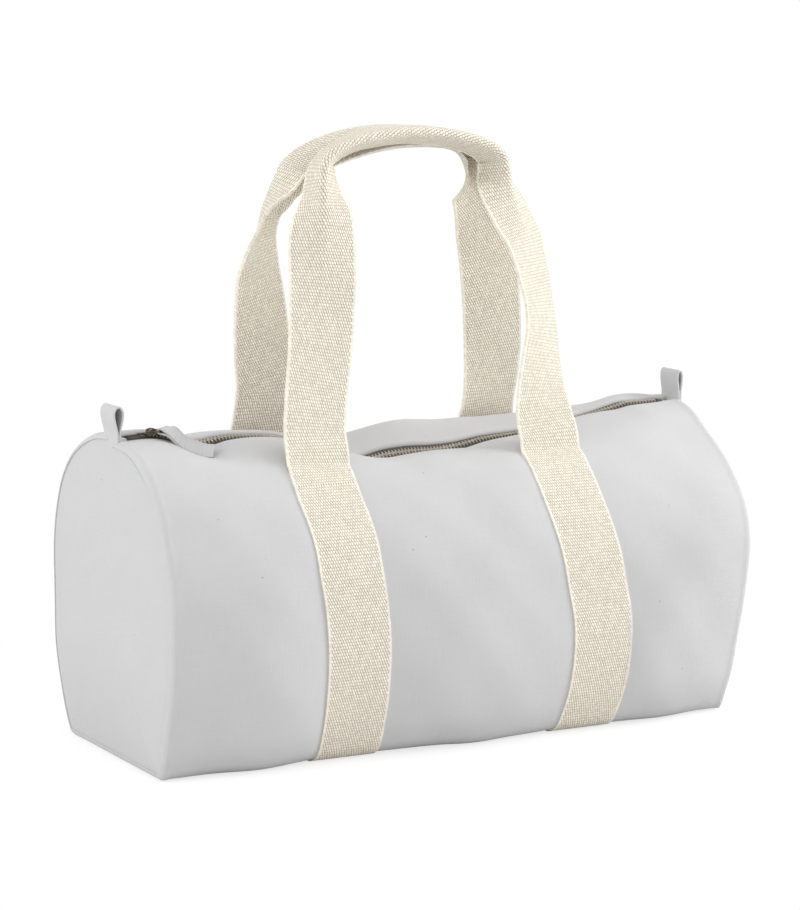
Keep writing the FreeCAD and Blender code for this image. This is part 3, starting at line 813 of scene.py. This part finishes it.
# The handles
# Above its stitch line the webbing stands free and twists a little. Towards the grip it folds along
# its middle, crease outwards and up, turns a corner flatwise and comes down as the other leg.
body_runs = [92.0, 86.0, 80.0, 75.0]
leg_heights = [228.0, 240.0, 262.0, 285.0, 307.0, 328.0, 350.0, 375.0, 397.0, 412.0]
leg_outs = [65.4, 61.0, 56.6, 52.6, 48.7, 44.9, 41.0, 36.6, 32.9, 30.5]
leg_places = {
    "front_left": [-107.4, -107.0, -104.2, -100.0, -96.0, -93.2, -90.4, -87.6, -85.0, -84.3],
    "front_right": [88.8, 88.0, 87.6, 90.0, 92.3, 91.6, 88.4, 84.5, 78.5, 75.0],
    "back_left": [-91.6, -91.5, -90.8, -94.5, -98.0, -101.0, -104.0, -105.0, -103.8, -99.0],
    "back_right": [107.8, 107.6, 108.0, 106.4, 103.7, 100.3, 96.0, 90.5, 84.5, 78.0],
}
leg_rolls = {
    "front_left": [0, -1, -1, 1, 4, 7, 11, 17, 23, 25],
    "front_right": [1, 4, 15, 25, 33, 36, 34, 30, 26, 22],
    "back_left": [2, 4, 4, 6, 11, 17, 26, 42, 50, 52],
    "back_right": [-4, -8, -4, 1, 2, 2, 2, 4, 6, 10],
}
grip_places = {
    "front": [-82.5, -79.5, -74, -65, -48, -26, -3, 19, 35, 51.5, 64, 71, 73.5],
    "back": [-94.5, -89, -79, -64, -39, -14, 9, 30, 46, 57, 65, 71],
}
grip_levels = {
    "front": [428, 438, 443.5, 447.9, 452.6, 455.7, 456.7, 455.3, 452.7, 448.7, 443.5, 437, 428],
    "back": [424, 434, 441.5, 448.5, 455.5, 458, 457.2, 454.7, 450.5, 445, 437.5, 426],
}
grip_out = 28.0
roll_places = [-90.0, -50.0, 0.0, 45.0, 75.0]
grip_rolls = {"front": [25, 10, 6, 7, 14], "back": [52, 44, 20, 8, 8]}
fold_heights = [0.0, 355.0, 375.0, 397.0, 409.0, 420.0, 429.0, 438.0, 446.0]
fold_angles = [0.0, 0.0, 8.0, 25.0, 42.0, 60.0, 73.0, 82.0, 87.0]
fold_late = {"front_left": -6.0, "front_right": 10.0, "back_left": 4.0, "back_right": 19.0}
crease_round = 1.6
join_hold = 8.0
join_fade = 10.0
foot_clear = 40.0
foot_rise = 1.25 * webbing_middle
face_signs = {"front": -1, "back": 1}


def handle_knots(face):
    """The knots of the handle's middle line from foot to foot, three columns of place, then roll and
    fold in degrees: along the strap on the barrel, up the left leg, over the grip and down again."""
    front = face_signs[face]
    legs = []
    for side_name in side_signs:
        corner = face + "_" + side_name
        runs = front * np.array(body_runs)
        on_body = skin(strap_middle(side_name, runs), runs, webbing_middle)
        free = np.stack([leg_places[corner], front * np.array(leg_outs), leg_heights], axis=1)
        roll = np.concatenate([np.zeros(len(runs)), leg_rolls[corner]])
        points = np.concatenate([on_body, free])
        fold = np.interp(points[:, 2] - fold_late[corner], fold_heights, fold_angles)
        legs.append(np.column_stack([points, roll, fold]))
    over = np.array(grip_places[face], float)
    grip = np.stack([
        over,
        np.full(len(over), front * grip_out),
        np.array(grip_levels[face]),
        np.interp(over, roll_places, grip_rolls[face]),
        np.interp(grip_levels[face], fold_heights, fold_angles),
    ], axis=1)
    return np.concatenate([legs[0], grip, legs[1][::-1]])


def unit(vectors):
    """Vectors drawn to length 1, one to a row."""
    return vectors / np.linalg.norm(vectors, axis=1, keepdims=True)


def ways_from_middle(steps):
    """Steps across each row summed into distances from the row's middle."""
    ways = np.pad(np.cumsum(steps, axis=1), ((0, 0), (1, 0)))
    middle = steps.shape[1] // 2
    return ways - ways[:, middle : middle + 1]


def handle_piece(name, face):
    """Webbing carried along the handle's middle line, its face turned about the line by the roll.
    Across it, each half turns inwards by the fold: at a distance a from the middle, the way in rises
    by sin(fold) a / sqrt(a^2 + r^2) for a crease of radius r, and the way across by what keeps the
    webbing's own width. Near both feet the rows stay above the canvas and pass over into the strap's
    own rows."""
    front = face_signs[face]
    knots = handle_knots(face)
    chord = length_along(knots[:, :3])
    run = np.linspace(0, chord[-1], int(chord[-1] / webbing_step))
    line = np.stack([through(chord, column, run) for column in knots[:, :3].T], axis=1)
    roll = np.radians(through(chord, knots[:, 3], run))[:, None]
    fold = np.radians(np.interp(run, chord, knots[:, 4]))
    along = unit(np.gradient(line, axis=0))
    inward = unit(np.array([0.0, -front, 0.0]) + along * (along[:, 1:2] * front))
    across = np.cross(along, inward) * -front
    rolled_in = inward * np.cos(roll) - across * np.sin(roll)
    rolled_across = across * np.cos(roll) + inward * np.sin(roll)
    from_middle = webbing_columns * webbing_width / 2
    slope = np.sin(fold)[:, None] * from_middle / np.sqrt(from_middle**2 + crease_round**2)
    step = np.diff(from_middle)
    inner_steps = (slope[:, 1:] + slope[:, :-1]) / 2
    way_in = ways_from_middle(inner_steps * step)
    way_out = ways_from_middle(np.sqrt(1 - inner_steps**2) * step)
    grid = line[:, None] + rolled_across[:, None] * way_out[..., None]
    grid = grid + rolled_in[:, None] * way_in[..., None]
    for side_name, from_foot, sign in (("left", run, -1), ("right", run[-1] - run, 1)):
        low = from_foot < foot_clear
        out = np.clip(np.abs(grid[low][..., 1]) / barrel_radius, 0, 1)
        under = front * barrel_radius * np.arcsin(out)
        canvas = skin(grid[low][..., 0], under, 0.0)[..., 2]
        grid[low, :, 2] = np.maximum(grid[low][..., 2], canvas + foot_rise)
        held = 1 - eased((from_foot - join_hold) / join_fade)
        near = held > 0
        around = front * (join_run - from_foot[near])
        middle = strap_middle(side_name, around)
        on_strap = skin(middle[:, None] + sign * from_middle[None, :], around[:, None], webbing_middle)
        share = held[near][:, None, None]
        grid[near] = grid[near] * (1 - share) + on_strap * share
    flat = flat_strip(from_middle, run)
    handle = cloth_piece(name, grid, flat, -front, ecru_webbing, webbing_thickness, offset=0.0, crisp=True)
    return handle


def bend_at_stitches(piece):
    """The piece's place is baked into its points."""
    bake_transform(piece)


for face in face_signs:
    handle = handle_piece(face + "_webbing", face)
    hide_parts(face + "_handle")
    if face == "back":
        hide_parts("back_left_strap", "back_right_strap")
    bend_at_stitches(handle)

# The zip tapes
# Under each folded edge of the canvas a strip of woven cotton tape is sewn on. Its bare edge comes
# out to the middle and holds the teeth. Its near-black colour is painted shade for the shade between
# and under the teeth; the tape itself is pale.
tape_runs = [1.6, 2.6, 4.2, 5.4, 7.0, 11.0, 16.2]
tape_lifts = [-1.9, -1.9, -1.9, -2.1, -3.1, -3.1, -3.1]
tape_thickness = 0.8
# Near black: painted shade for the dark gaps between and under the teeth
tape_painted_shade_colour = (0.090, 0.082, 0.072, 1.0)
tape_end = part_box("front_zip_tape")[1][0] / mm
tape_painted_shade_cloth = canvas_material("zip tape painted shade", tape_painted_shade_colour, thread=0.0008, slub=0.05, bump_depth=0.0003)


def zip_tape(name, sign, start, end):
    """A strip of tape that follows the zip's line: a short profile across, carried along x."""
    places = np.linspace(start, end, int((end - start) / cloth_step) + 1)
    across, place = np.meshgrid(tape_runs, places)
    lift = np.interp(across, tape_runs, tape_lifts)
    flat = np.stack([across, place], axis=-1) * mm
    grid = skin(place, sign * across, lift)
    tape = cloth_piece(name, grid, flat, -sign, tape_painted_shade_cloth, tape_thickness, offset=0.0)
    return tape


front_tape = zip_tape("front_tape", -1, -tape_end, tape_end)
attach(front_tape, "bag")
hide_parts("front_zip_tape")
for side_name, start, end, sign in halves(tape_end):
    back_tape = zip_tape(side_name + "_back_tape", 1, start, end)
    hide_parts("back_zip_tape")
    swing_with_back(back_tape)

# The zip teeth
# Two rows of small cast teeth in darkened brass are clamped on the tapes' edges and mesh in the
# middle, from the slider at the left end to the bottom stop at the right. The teeth get a far paler
# copy of the brass than the slider: painted highlight for their bright faces.
tooth_pitch = 2.8
tooth_half = 0.43
tooth_chamfer = 0.16
tooth_small = 0.80
tooth_outline_y = [-3.4, -1.2, -0.4, 0.7, 1.1, 1.1, 0.7, -0.4, -1.2, -3.4]
tooth_outline_z = [0.75, 1.00, 1.20, 1.20, 0.80, -0.80, -1.20, -1.20, -1.00, -0.75]
teeth_start = -213.0
teeth_end = 226.0
tooth_level = -1.9
chain_step = 0.5
chain_half = 1.0
brass_colour = (0.150, 0.120, 0.090, 1.0)
brass_worn_colour = (0.42, 0.36, 0.27, 1.0)
# The teeth's two colours are far paler than the brass: painted highlight, the paler one in worn patches
tooth_highlight_colour = (0.62, 0.56, 0.48, 1.0)
tooth_worn_highlight_colour = (0.88, 0.84, 0.76, 1.0)
wear_scale = 420.0
cast_scale = 2600.0
wear_span = (0.50, 0.72)
brass_roughness = (0.46, 0.30)


def brass_material(name, colour, worn_colour):
    """Darkened brass: worn paler and smoother in small patches, with a fine cast grain. With the teeth's
    far paler colours it is a painted highlight on them.
    """
    material, tree, shader = new_material(name)
    place = add_node(tree, "TexCoord").outputs["Object"]
    patches = noise_of(tree, place, wear_scale, detail=3.0)
    worn = onto_span(tree, patches, start=wear_span)
    grain = noise_of(tree, place, cast_scale, detail=2.0)
    join_inputs(tree, shader, {
        "Base Color": colour_between(tree, worn, colour, worn_colour),
        "Roughness": onto_span(tree, worn, onto=brass_roughness),
        "Metallic": 0.9,
        "Normal": bumped(tree, grain, strength=0.2, depth=0.0001),
    })
    return material


dark_brass = brass_material("dark brass", brass_colour, brass_worn_colour)
tooth_highlight_brass = brass_material("tooth brass painted highlight", tooth_highlight_colour, tooth_worn_highlight_colour)


def repeated(name, form, faces, matrices, spots, material, smooth):
    """One small form set down many times: every copy's points are turned by its own matrix and
    moved to its own spot, all in one array."""
    points = np.einsum("nij,kj->nki", matrices, form) + spots[:, None, :]
    first_points = np.arange(len(spots))[:, None] * len(form)
    all_faces = []
    for face in faces:
        all_faces.extend((np.array(face) + first_points).tolist())
    mesh = bpy.data.meshes.new(name)
    mesh.from_pydata((points.reshape(-1, 3) * mm).tolist(), [], all_faces)
    mesh.polygons.foreach_set("use_smooth", np.full(len(all_faces), smooth))
    mesh.materials.append(material)
    return new_object(name, mesh)


def ring_form(levels, sizes, ring_y, ring_z):
    """The points of a form made of equal rings: one ring to a level along x, drawn to its size."""
    sized_y = sizes[:, None] * np.asarray(ring_y)
    sized_z = sizes[:, None] * np.asarray(ring_z)
    return np.stack([np.repeat(levels, len(ring_y)), sized_y.ravel(), sized_z.ravel()], axis=1)


def ringed_faces(rings, around, turned=True):
    """Faces of a closed form made of equal rings of points: bands between rings and two end caps,
    turned outward for rings that run from y to z."""
    faces = []
    for ring in range(rings - 1):
        for k in range(around):
            here = ring * around + k
            beside = ring * around + (k + 1) % around
            faces.append([here, here + around, beside + around, beside])
    faces.append(list(range(around)))
    faces.append([(rings - 1) * around + k for k in range(around - 1, -1, -1)])
    return [face[::-1] for face in faces] if turned else faces


def on_chain(places):
    """Spots on the zip's line and, at each, three directions as columns: along, across and up."""
    spots = skin(places, 0.0, tooth_level)
    along = unit(skin(places + chain_step, 0.0, tooth_level) - spots)
    up = unit(np.cross(along, skin(places, chain_half, 0.0) - skin(places, -chain_half, 0.0)))
    return spots, np.stack([along, np.cross(up, along), up], axis=2)


def teeth(name, sign, places):
    """Teeth along the zip's line: an outline across the zip given thickness along it, its two ends a
    little smaller, each tooth turned with the slope and tip of the line. sign is -1 for the front
    row."""
    bevel = tooth_half - tooth_chamfer
    levels = np.array([-tooth_half, -bevel, bevel, tooth_half])
    sizes = np.array([tooth_small, 1.0, 1.0, tooth_small])
    middle_y = (min(tooth_outline_y) + max(tooth_outline_y)) / 2
    form = ring_form(levels, sizes, np.array(tooth_outline_y) - middle_y, tooth_outline_z)
    form[:, 1] = -sign * (middle_y + form[:, 1])
    faces = ringed_faces(len(levels), len(tooth_outline_y), sign < 0)
    spots, matrices = on_chain(places)
    return repeated(name, form, faces, matrices, spots, tooth_highlight_brass, False)


front_places = np.arange(teeth_start, teeth_end, tooth_pitch)
back_places = front_places + tooth_pitch / 2
front_teeth = teeth("front_teeth", -1, front_places)
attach(front_teeth, "bag")
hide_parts("front_zip_teeth")
for side_name, sign in side_signs.items():
    back_teeth = teeth(side_name + "_back_teeth", 1, back_places[back_places * sign > 0])
    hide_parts("back_zip_teeth")
    swing_with_back(back_teeth)

# The zip's stops, slider and ring
# The same darkened brass: a bent clip at each end of the chain, a cast slider with a crown on top,
# and a ring of round wire through the crown.
clip_squareness = 0.6
for metal_node in ("front_top_stop", "zip_slider", "pull_ring"):
    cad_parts[metal_node].data.materials.clear()
    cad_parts[metal_node].data.materials.append(dark_brass)


def stop_clip(name, node):
    """A bent clip as big as the part's own stop: rounded rings along it, smaller at both ends, set
    down on the zip's line at the stop's place."""
    low_corner, high_corner = [np.array(corner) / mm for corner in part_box(node)]
    half = (high_corner - low_corner) / 2
    middle = (high_corner + low_corner) / 2
    turn = np.linspace(0, 2 * math.pi, 13)[:-1]
    levels = np.array([-1.0, -0.8, 0.8, 1.0])
    sizes = np.array([0.75, 1.0, 1.0, 0.75])
    round_y = np.sign(np.cos(turn)) * np.abs(np.cos(turn)) ** clip_squareness
    round_z = np.sign(np.sin(turn)) * np.abs(np.sin(turn)) ** clip_squareness
    form = ring_form(levels * half[0], sizes, round_y * half[1], round_z * half[2])
    form[:, 1] = middle[1] + form[:, 1]
    faces = ringed_faces(len(levels), len(turn))
    spots, matrices = on_chain(middle[:1])
    clip = repeated(name, form, faces, matrices, spots, dark_brass, False)
    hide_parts(node)
    return clip


swing_with_back(stop_clip("back_top_clip", "back_top_stop"))
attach(stop_clip("bottom_clip", "bottom_stop"), "bag")

# The canvas pull
# A narrow strip of the bag's canvas is doubled round the ring's straight side and sewn along its
# edges. It lies on the canvas beside the slider, towards the front.
pull_bar = np.array([-203.968, -7.032, 242.85])
pull_turn = math.radians(45)
pull_tilt = math.radians(6.12)
pull_bend = math.radians(15)
pull_bends_by = 16.0
pull_length = 37.0
pull_lay = 4.0
pull_roll = math.radians(30)
pull_rolls_by = 12.0
pull_lays_from = 4.0
pull_lays_full = 16.0
pull_width = 15.0
ply_half = 0.8
ply_along = [pull_length, 30.0, 18.0, 6.0, 2.6, 0.6, -1.3]
ply_up = [ply_half, ply_half, ply_half, ply_half, 1.2, 1.7, 1.3]
pull_tip = -1.9
pull_step = 0.7
pull_flat = math.cos(pull_tilt)
pull_along = [math.cos(pull_turn) * pull_flat, -math.sin(pull_turn) * pull_flat, -math.sin(pull_tilt)]
pull_along = np.array(pull_along)
pull_across = np.array([math.sin(pull_turn), math.cos(pull_turn), 0.0])
pull_axes = (pull_along, np.cross(pull_along, pull_across), pull_across)
strip_across = np.linspace(-0.5, 0.5, 9)
strip_middle = slice(4, 5)


def doubled(spread, reach, tip):
    """The knots of a strip doubled at its tip: along one ply, round the tip and back along the other
    ply, which lies the same way off on the other side. The columns are the spread and the reach."""
    spread = np.array(spread)
    both_plies = np.concatenate([spread, [0.0], -spread[::-1]])
    return np.stack([both_plies, np.concatenate([reach, [tip], reach[::-1]])], axis=1)


def strip_grid(origin, axes, line, width):
    """A line drawn in the plane of the first two axes and carried across its width along the third."""
    path = origin + line[:, :1] * axes[0] + line[:, 1:] * axes[1]
    return path[:, None, :] + (strip_across * width)[None, :, None] * axes[2]


def strip_along(name, origin, axes, knots, width, step, outward, shape=None):
    """A strip of canvas along the smooth line through the knots, in rows about a step apart, then
    given a shape of its own, if any. It comes with its cut length."""
    chord = length_along(knots)
    run = np.linspace(0, chord[-1], int(chord[-1] / step) + 1)
    line = np.stack([through(chord, column, run) for column in knots.T], axis=1)
    grid = strip_grid(origin, axes, line, width)
    if shape:
        grid = shape(grid, line)
    flat = flat_strip(strip_across * width, run)
    strip = cloth_piece(name, grid, flat, outward, grey_canvas, canvas_thickness, offset=0.0, crisp=True)
    return strip, run[-1]


def laid_on_canvas(grid, line):
    """Past the bar the pull rolls about its own middle line, its front edge down, bends a little in
    plan about the bar, and comes down on the canvas: the middle line's height passes over to the
    height of the canvas under it plus a small clearance."""
    middle = grid[:, strip_middle]
    roll = (pull_roll * eased(line[:, :1] / pull_rolls_by))[..., None]
    off_flat = (grid - middle) * np.array([1.0, 1.0, 0.0])
    way_over = strip_across[None, :, None] * pull_width
    bend = pull_bend * eased(line[:, :1] / pull_bends_by)
    flat = middle + off_flat * np.cos(roll)
    off_x = flat[..., 0] - pull_bar[0]
    off_y = flat[..., 1] - pull_bar[1]
    x = pull_bar[0] + off_x * np.cos(bend) - off_y * np.sin(bend)
    y = pull_bar[1] + off_x * np.sin(bend) + off_y * np.cos(bend)
    under = barrel_radius * np.arcsin(np.clip(y[:, strip_middle] / barrel_radius, -1, 1))
    canvas = skin(x[:, strip_middle], under, 0.0)[..., 2]
    share = eased((line[:, :1] - pull_lays_from) / (pull_lays_full - pull_lays_from))
    level = middle[..., 2] * (1 - share) + (canvas + pull_lay + line[:, 1:]) * share
    return np.stack([x, y, level + (way_over * np.sin(roll))[..., 0]], axis=-1)


pull_knots = doubled([-up for up in ply_up], ply_along, pull_tip)[:, ::-1]
pull, pull_cut = strip_along(
    "pull_strip", pull_bar, pull_axes, pull_knots, pull_width, pull_step, 1, laid_on_canvas
)
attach(pull, "pull")
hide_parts("canvas_pull")

# The end loops
# A folded strip of canvas is caught in the top of each end seam and stands up as a small loop, the
# left one round and open, the right one pressed nearly flat.
loop_width = 25.0
loop_out = 241.3
loop_levels = [234.0, 240.0, 243.0, 246.0, 250.0, 254.0, 257.5, 260.2, 261.9]
loop_opens = [0.75, 0.75, 0.9, 1.5, 2.5, 3.3, 3.5, 2.8, 1.4]
loop_top = 262.4
loop_step = 0.9
loop_open_share = {"left": 1.0, "right": 0.6}


def end_loop(name, side_name, sign):
    """A loop seen from the front: up one leg as it opens, over a round top and down the other."""
    out = np.maximum(np.array(loop_opens) * loop_open_share[side_name], loop_opens[0])
    origin = np.array([sign * loop_out, 0.0, 0.0])
    axis_x, axis_y, axis_z = np.eye(3)
    knots = doubled(out, loop_levels, loop_top)
    return strip_along(name, origin, (axis_x, axis_z, axis_y), knots, loop_width, loop_step, -1)


for side_name, sign in side_signs.items():
    loop, loop_cut = end_loop(side_name + "_loop_strip", side_name, sign)
    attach(loop, side_name + "_eye")
    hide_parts(side_name + "_loop")

# The stitching
# Cream thread: two rows across the foot of each handle leg hold the webbing to the canvas. Grey
# thread: a row along each folded edge of the zip and along both edges of the pull.
stitch_length = 2.5
stitch_radius = 0.38
stitch_pitch = 3.2
ply_scale = 1500.0
ply_shades = (0.82, 1.12)
thread_colour = (0.80, 0.74, 0.62, 1.0)
grey_thread_colour = (0.62, 0.62, 0.62, 1.0)


def thread_material(name, colour):
    """Twisted cotton thread: its plies, as fine noise, shade the colour a little."""
    material, tree, shader = new_material(name)
    place = add_node(tree, "TexCoord").outputs["Object"]
    plies = noise_of(tree, place, ply_scale, detail=1.0)
    uneven = onto_span(tree, plies, onto=ply_shades)
    join_inputs(tree, shader, {
        "Base Color": times(tree, colour[:3], uneven),
        "Roughness": 0.8,
        "Specular IOR Level": 0.2,
    })
    return material


cream_thread = thread_material("cream thread", thread_colour)
grey_thread = thread_material("grey thread", grey_thread_colour)


def stitches(name, starts, ends, ups, material):
    """Short threads from start to end, each a bent six-sided tube whose ends dip into the cloth."""
    around = 6
    levels = np.array([-0.5, -0.38, -0.15, 0.15, 0.38, 0.5])
    sizes = np.array([0.35, 0.85, 1.0, 1.0, 0.85, 0.35])
    dips = np.array([-0.9, -0.25, 0.0, 0.0, -0.25, -0.9])
    turn = np.arange(around) / around * 2 * math.pi
    form = ring_form(levels, sizes, np.cos(turn), np.sin(turn))
    form[:, 2] = form[:, 2] + np.repeat(dips, around)
    long = np.linalg.norm(ends - starts, axis=1, keepdims=True)
    along = unit(ends - starts)
    side = unit(np.cross(ups, along))
    up = np.cross(along, side)
    matrices = np.stack([along * long, side * stitch_radius, up * stitch_radius], axis=2)
    faces = ringed_faces(len(levels), around)
    return repeated(name, form, faces, matrices, (starts + ends) / 2, material, True)


def row_on_skin(x_start, x_end, around, lift):
    """The two ends of each stitch and the way up, for a straight row along the barrel."""
    reach = x_end - x_start
    count = int(reach / stitch_pitch)
    middles = x_start + reach * (np.arange(count) + 0.5) / count
    starts = skin(middles - stitch_length / 2, around, lift)
    ends = skin(middles + stitch_length / 2, around, lift)
    ups = skin(middles, around, lift + 1.0) - skin(middles, around, lift)
    return starts, ends, ups


foot_rows = [74.5, 79.0]
foot_row_half = 23.2
webbing_top = 2.5
for face, front in face_signs.items():
    for side_name in side_signs:
        rows = []
        for run in foot_rows:
            middle = float(strap_middle(side_name, np.array(front * run)))
            low_x = middle - foot_row_half
            rows.append(row_on_skin(low_x, low_x + 2 * foot_row_half, front * run, webbing_top))
        both_rows = [np.concatenate(part) for part in zip(*rows)]
        foot = stitches(face + "_" + side_name + "_foot_stitches", *both_rows, cream_thread)
        bend_at_stitches(foot)

lip_row_inset = 3.6
lip_row = lip_edge + lip_row_inset
lip_row_end = 216.0
lip_row_lift = 0.1
front_row = row_on_skin(-lip_row_end, lip_row_end, -lip_row, lip_row_lift)
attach(stitches("front_lip_stitches", *front_row, grey_thread), "bag")
for side_name, start, end, sign in halves(lip_row_end):
    back_row = row_on_skin(start, end, lip_row, lip_row_lift)
    swing_with_back(stitches(side_name + "_back_lip_stitches", *back_row, grey_thread))

pull_stitch_from = 5.0
pull_stitch_along = np.arange(pull_stitch_from, pull_length - stitch_length, stitch_pitch)
pull_stitch_up = np.array([0.0, -0.45, 0.89])
sewn_columns = [1, 7]
pull_ends = []
for offset in (0.0, stitch_length):
    ply_face = np.full(len(pull_stitch_along), ply_half + canvas_thickness / 2)
    stitch_line = np.stack([pull_stitch_along + offset, ply_face], axis=1)
    laid = laid_on_canvas(strip_grid(pull_bar, pull_axes, stitch_line, pull_width), stitch_line)
    pull_ends.append(laid[:, sewn_columns].reshape(-1, 3))
pull_ups = np.broadcast_to(pull_stitch_up, pull_ends[0].shape)
pull_stitches = stitches("pull_stitches", *pull_ends, pull_ups, grey_thread)
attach(pull_stitches, "pull")

# Floor, light and camera
# A plain white floor under broad soft lamps from the left, the right and above, seen from the front
# left and a little above.
floor_size = 30.0
white_span = (0.22, 0.46)
white = (1, 1, 1, 1)
floor_grey = (0.8, 0.8, 0.8, 1)
shadow_grey = (0.30, 0.30, 0.30, 1)
fill_light = 0.74
floor_mesh = bpy.data.meshes.new("floor")
floor_signs = [(-1, -1), (1, -1), (1, 1), (-1, 1)]
floor_corners = [(x * floor_size, y * floor_size, 0) for x, y in floor_signs]
floor_mesh.from_pydata(floor_corners, [], [(0, 1, 2, 3)])
new_object("floor", floor_mesh)

floor_material, floor_tree, _ = new_material("white floor")
floor_tree.nodes.clear()
rays = add_node(floor_tree, "LightPath").outputs
seen = math_step(floor_tree, "MAXIMUM", rays["Is Camera Ray"], rays["Is Glossy Ray"])
seen = math_step(floor_tree, "MAXIMUM", seen, rays["Is Transmission Ray"])
plain = add_node(floor_tree, "BsdfDiffuse", {0: floor_grey})
shadowed = add_node(floor_tree, "BsdfDiffuse", {0: shadow_grey})
glow = add_node(floor_tree, "Emission", {0: white, 1: fill_light})
both = add_node(floor_tree, "AddShader", {0: shadowed.outputs[0], 1: glow.outputs[0]})
bright = add_node(floor_tree, "Emission", {0: white, 1: 1.0})
floor_place = add_node(floor_tree, "TexCoord").outputs["Object"]
from_bag = add_node(floor_tree, "VectorMath", {0: floor_place}, operation="LENGTH").outputs["Value"]
far = onto_span(floor_tree, from_bag, start=white_span, interpolation_type="SMOOTHSTEP")
shown = add_node(floor_tree, "MixShader", {0: far, 1: both.outputs[0], 2: bright.outputs[0]})
mixed = add_node(floor_tree, "MixShader", {0: seen, 1: plain.outputs[0], 2: shown.outputs[0]})
add_node(floor_tree, "OutputMaterial", {0: mixed.outputs[0]})
floor_mesh.materials.append(floor_material)

world = bpy.data.worlds.new("studio")
world.use_nodes = True
bpy.context.scene.world = world
sky_tree = world.node_tree
sky_tree.nodes.clear()
sky_rays = add_node(sky_tree, "LightPath").outputs
sky_fill = add_node(sky_tree, "Background", {0: white, 1: fill_light})
sky_seen = add_node(sky_tree, "Background", {0: white, 1: 1.0})
sky_given = {0: sky_rays["Is Camera Ray"], 1: sky_fill.outputs[0], 2: sky_seen.outputs[0]}
sky_mix = add_node(sky_tree, "MixShader", sky_given)
add_node(sky_tree, "OutputWorld", {0: sky_mix.outputs[0]})

lamps = [
    ("left lamp", (-2.4, 0.1, 1.2), (1.4, 1.6), 22.0),
    ("right lamp", (2.2, -0.95, 1.15), (1.6, 1.6), 42.0),
    ("top lamp", (0.1, -0.2, 2.6), (2.2, 2.0), 8.0),
]
lamp_target = np.array([0.0, 0.0, 0.16])
for lamp_name, spot, size, power in lamps:
    light = bpy.data.lights.new(lamp_name, "AREA")
    light.shape = "RECTANGLE"
    light.size, light.size_y = size
    light.energy = power
    lamp = new_object(lamp_name, light)
    lamp.location = spot
    aim = Vector(lamp_target - np.array(spot))
    lamp.rotation_euler = aim.to_track_quat("-Z", "Y").to_euler()

camera_data = bpy.data.cameras.new("camera")
camera_data.sensor_width = 36.0
camera_data.lens = 124.33
camera_data.clip_end = 100.0
camera = new_object("camera", camera_data)
camera.location = (-1.1200, -2.0983, 0.5543)
camera_turn = 28.0
camera_dip = 8.243
camera.rotation_euler = (math.radians(90 - camera_dip), 0, math.radians(-camera_turn))
bpy.context.scene.camera = camera
bpy.context.scene.view_settings.view_transform = "Standard"
